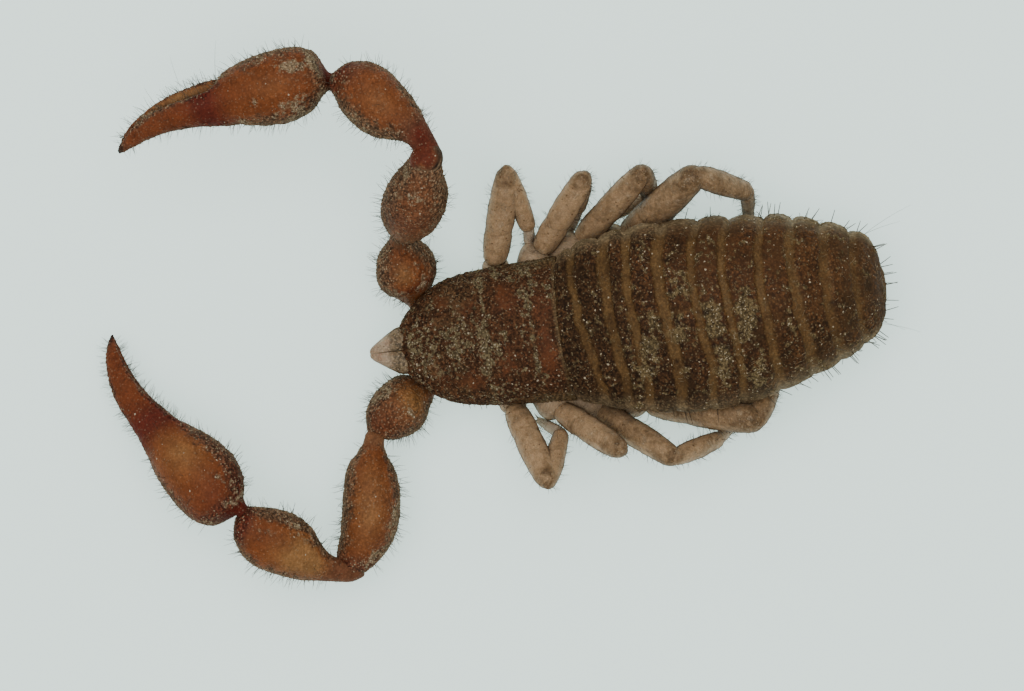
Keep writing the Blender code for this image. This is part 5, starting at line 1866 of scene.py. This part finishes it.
@dataclass
class Setae:
    """The hairs: stiff dark ones on margins, fine ones on limbs, lying curled ones, and long feelers."""

    seed: int = 7
    stiff: HairStyle = HairStyle((0.05, 0.074), 0.003, 0.2, 0.03, 0.1, blunt=0.6)
    fine: HairStyle = HairStyle((0.042, 0.072), 0.0015, 0.22, 0.1, 0.14)
    short: HairStyle = HairStyle((0.02, 0.032), 0.002, 0.35, 0.2, 0.22, blunt=0.6)
    fringe: HairStyle = HairStyle((0.032, 0.058), 0.0008, 0.15, 0.12, 0.12)
    curled: HairStyle = HairStyle((0.012, 0.022), 0.0014, 0.8, 0.8, 0.7, 0.002, 0.6)
    leg_hair: HairStyle = HairStyle((0.026, 0.044), 0.0013, 0.35, 0.12, 0.15)
    margin_counts: tuple[int, int, int] = (40, 14, 70)
    back_count: int = 260
    shield_counts: tuple[int, int] = (220, 46)
    arm_counts: tuple[int, int, int, int] = (95, 40, 120, 110)
    leg_count: int = 60
    bare_rings: int = 6
    feeler_radius: float = 0.0011
    feeler_bend: float = 0.12
    feeler_blunt: float = 0.4
    rear_feelers: tuple[Row, ...] = (
        (-0.31, 1.64, -0.15, 0.235), (-0.31, 1.64, -0.065, 0.18), (0.16, 1.67, 0.045, 0.125),
        (0.17, 1.67, 0.045, 0.205),
    )
    hand_feelers: tuple[Row, ...] = (
        (-1.54, -1.81, -0.215, -0.08), (-1.53, -1.68, -0.205, 0.0), (-1.49, -1.95, -0.11, -0.08),
    )

    def feel(self, coat: Coat, skin: Surface, rows: Sequence[Row], rise: float) -> None:
        """Sets long straight hairs one by one.

        Args:
            coat: The coat that takes them.
            skin: The skin they stand on.
            rows: For each hair its root's place and its reach across and along.
            rise: How far the tip stands above the root, as a share of the reach.
        """
        table = np.array(rows)
        roots = np.array([perch(skin, x, y) for x, y in table[:, :2]])
        flat = table[:, 2:]
        reach = np.concatenate([flat, rise * np.linalg.norm(flat, axis=1, keepdims=True)], axis=1)
        length = np.linalg.norm(reach, axis=1)
        aside = np.stack([reach[:, 1], -reach[:, 0], 0 * length], axis=1)
        bend = aside / length[:, None] * self.feeler_bend
        thickness, spots = np.full(len(table), self.feeler_radius), np.full((len(table), 2), 0.5)
        coat.grow(roots, reach / length[:, None], length, thickness, bend, spots, self.feeler_blunt)

    def trunk(self, abdomen: Surface, carapace: Surface, finishes: Finishes) -> None:
        """Plants the trunk's hairs.

        Args:
            abdomen: The abdomen's skin.
            carapace: The carapace's skin.
            finishes: The materials.
        """
        rng = np.random.default_rng(self.seed)
        y = abdomen.points[..., 1]
        normal = abdomen.normals()
        rim = ease(0.3, 0.05, np.abs(normal[..., 2]))
        dark, pale = Coat(), Coat()
        sides, end, between = self.margin_counts
        plant(dark, abdomen, sides, self.stiff, rim * ease(0.45, 1.3, y), rng)
        plant(dark, abdomen, end, self.stiff, rim * ease(1.5, 1.62, y), rng)
        plant(dark, abdomen, between, self.short, rim * ease(0.1, 0.5, y), rng)
        plant(pale, abdomen, self.back_count, self.curled, ease(0.2, 0.6, normal[..., 2]), rng)
        self.feel(dark, abdomen, self.rear_feelers, 0.25)
        facing = np.abs(carapace.normals()[..., 2])
        above = ease(0.1, 0.4, carapace.normals()[..., 2])
        ahead = ease(-0.2, -0.6, carapace.points[..., 1])
        lying, standing = self.shield_counts
        plant(pale, carapace, lying, self.curled, above * (0.1 + ahead), rng)
        plant(dark, carapace, standing, self.short, ease(0.5, 0.2, facing) * (0.1 + ahead), rng)
        dark.finish("trunk_bristles", finishes.dark_hair, Slot.DARK)
        pale.finish("trunk_lying_hairs", finishes.pale_hair, Slot.DARK)

    def arm(self, side: str, skins: dict[str, tuple[Surface, Array]], finishes: Finishes) -> None:
        """Plants one palp's hairs, each link on its own band of the unwrap.

        Args:
            side: left or right.
            skins: The palp's skins and their rings' places.
            finishes: The materials.
        """
        rng = np.random.default_rng(self.seed + (10 if side == "left" else 20))
        dark, pale = Coat(), Coat()
        long, short, lying, fringed = self.arm_counts
        for band, (name, (surface, t)) in enumerate(skins.items()):
            tile = (band / len(skins), (band + 0.9) / len(skins))
            facing = np.abs(surface.normals()[..., 2])
            rim = ease(0.45, 0.1, facing)
            inside = ease(0.02, 0.12, t)[:, None] * ease(1.0, 0.95, t)[:, None]
            fingers = ease(0.5, 0.6, t)[:, None] if name in ("hand", "finger") else 0.0
            plant(dark, surface, long, self.fine, (0.03 + rim) * inside, rng, tile)
            plant(dark, surface, short, self.short, ease(0.7, 0.2, facing) * inside, rng, tile)
            flat = ease(0.8, 0.3, facing) * inside * (1 - 0.9 * fingers)
            plant(pale, surface, lying, self.curled, flat, rng, tile)
            if name in ("hand", "finger"):
                plant(dark, surface, fringed, self.fringe, (0.05 + rim) * fingers * inside, rng, tile)
        if side == "right":
            self.feel(dark, skins["hand"][0], self.hand_feelers, 0.2)
        dark.finish(f"palp_bristles_{side}", finishes.dark_hair, Slot.RED)
        pale.finish(f"palp_lying_hairs_{side}", finishes.pale_hair, Slot.RED)

    def legs(self, side: str, skins: list[Surface], finishes: Finishes) -> None:
        """Plants one side's leg hairs, most on the limbs' outlines."""
        rng = np.random.default_rng(self.seed + (30 if side == "left" else 40))
        dark = Coat()
        for band, surface in enumerate(skins):
            tile = (band / len(skins), (band + 0.9) / len(skins))
            weight = 0.1 + ease(0.45, 0.1, np.abs(surface.normals()[..., 2]))
            weight[:self.bare_rings], weight[-self.bare_rings:] = 0, 0
            plant(dark, surface, self.leg_count, self.leg_hair, weight, rng, tile)
        dark.finish(f"leg_bristles_{side}", finishes.dark_hair, Slot.PALE)


# Studio


@dataclass
class Studio:
    """Pale floor, even soft light from all round and above, and a long lens straight over the animal."""

    middle: Pair = (0.268, 0.0672)
    frame_width: float = 5.325
    focus_height: float = 0.3
    turn: float = math.radians(83.3)
    lens: float = 400.0
    sensor: float = 36.0
    clip: Pair = (0.5, 1000.0)
    floor_radius: float = 400.0
    floor_sides: int = 96
    floor_shade: float = 0.985
    floor_cells: float = 0.5
    floor_colour: Colour = (0.62, 0.68, 0.655)
    floor_glow_colour: Colour = (0.64, 0.86, 0.79)
    floor_glow: float = 1.0
    sky: Colour = (0.97, 1.0, 0.985)
    sky_strength: float = 0.72
    lamp_place: Row = (-12.0, -18.0, 90.0)
    lamp_size: float = 120.0
    lamp_radiance: float = 1.6

    def build(self) -> None:
        """Sets up floor, light and camera."""
        self.floor()
        world = bpy.data.worlds.new("studio")
        world.use_nodes = True
        background = world.node_tree.nodes["Background"]
        background.inputs["Color"].default_value = solid(self.sky)
        background.inputs["Strength"].default_value = self.sky_strength
        bpy.context.scene.world = world
        lamp = bpy.data.lights.new("soft box", "AREA")
        lamp.size = self.lamp_size * MM
        lamp.energy = math.pi * lamp.size**2 * self.lamp_radiance
        in_scene("soft box", lamp).location = [place * MM for place in self.lamp_place]
        optics = bpy.data.cameras.new("camera")
        optics.lens = self.lens
        optics.sensor_width = self.sensor
        optics.clip_start, optics.clip_end = self.clip[0] * MM, self.clip[1] * MM
        camera = in_scene("camera", optics)
        away = self.frame_width * self.lens / self.sensor
        camera.location = (self.middle[0] * MM, self.middle[1] * MM, (self.focus_height + away) * MM)
        camera.rotation_euler = (0, 0, self.turn)
        bpy.context.scene.camera = camera

    def floor(self) -> None:
        """A round floor at height 0 with a faint unevenness of tone."""
        turn = circle(self.floor_sides)
        rim = np.stack([np.cos(turn), np.sin(turn), 0 * turn], axis=1) * self.floor_radius * MM
        index = np.arange(self.floor_sides)
        fan = np.stack([np.full_like(index, self.floor_sides), index, np.roll(index, -1)], axis=1)
        mesh = mesh_of("floor", np.concatenate([rim, [[0, 0, 0]]]), np.zeros((0, 4), int), fan)
        material, graph, shader = new_material("floor")
        low = tuple(self.floor_shade * level for level in self.floor_colour)
        tone = graph.mix(graph.noise(graph.place(), self.floor_cells, 2.0), low, self.floor_colour)
        material.node_tree.links.new(tone, shader.inputs["Base Color"])
        shader.inputs["Roughness"].default_value = 0.9
        shader.inputs["Specular IOR Level"].default_value = 0.1
        shader.inputs["Emission Color"].default_value = solid(self.floor_glow_colour)
        shader.inputs["Emission Strength"].default_value = self.floor_glow
        mesh.materials.append(material)
        in_scene("floor", mesh)


PALP_POSES = {
    "left": ((53, 15, 0), (17, 0, 0), (123, 16, 0), (150, -15, -8)),
    "right": ((12, 34, 50), (-26, 49, 75), (43, -14, 20), (102, -8, 30)),
}
LEG_PLANS = {
    1: LegPlan((0.09, 0.51, 0.36, 0.25), (0.073, 0.054, 0.03), -0.29, 0.32, 0.0, 0.78),
    2: LegPlan((0.13, 0.48, 0.28, 0.23), (0.07, 0.049, 0.029), -0.095, 0.335, 0.12, 1.15),
    3: LegPlan((0.18, 0.54, 0.36, 0.25), (0.07, 0.055, 0.03), 0.045, 0.345, 0.24, 1.1),
    4: LegPlan((0.18, 0.62, 0.38, 0.33), (0.089, 0.064, 0.037), 0.275, 0.358, 0.62),
}
LEG_POSES = {
    (1, "left"): ((-10, 30), (-18, 37), (-158, -44), 127),
    (1, "right"): ((2, 30), (-15, 26), (-166, -30), 179),
    (2, "left"): ((-33, 25), (-50, 42), (124, -62), 124),
    (2, "right"): ((-32, 30), (-37, 28), (162, -53), 153),
    (3, "left"): ((-48, 6), (-51, 37), (-106, -44), -127),
    (3, "right"): ((-50, 12), (-49, 32), (-170, -70), 116),
    (4, "left"): ((-66, 0), (-73, 27), (-154, -41), 70),
    (4, "right"): ((-60, 0), (-54, 44), (-114, -41), 178),
}


def main() -> None:
    """Loads the frame, builds and dresses every part of the animal, and lights it."""
    logging.basicConfig(level=logging.INFO, format="%(message)s")
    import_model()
    Studio().build()
    finishes = Finishes()
    carapace = Carapace().shape()
    shell("carapace", [carapace], finishes.carapace)
    abdomen = Abdomen().build(finishes)
    Chelicerae().build(finishes)
    Underside().build(finishes)
    setae = Setae()
    setae.trunk(abdomen, carapace, finishes)
    for side in SIDES:
        setae.arm(side, Palp(side, PALP_POSES[side]).build(finishes), finishes)
        skins: list[Surface] = []
        for number, plan in LEG_PLANS.items():
            skins += Leg(number, side, plan, LEG_POSES[number, side]).build(finishes)
        setae.legs(side, skins, finishes)


if __name__ == "__main__":
    main()
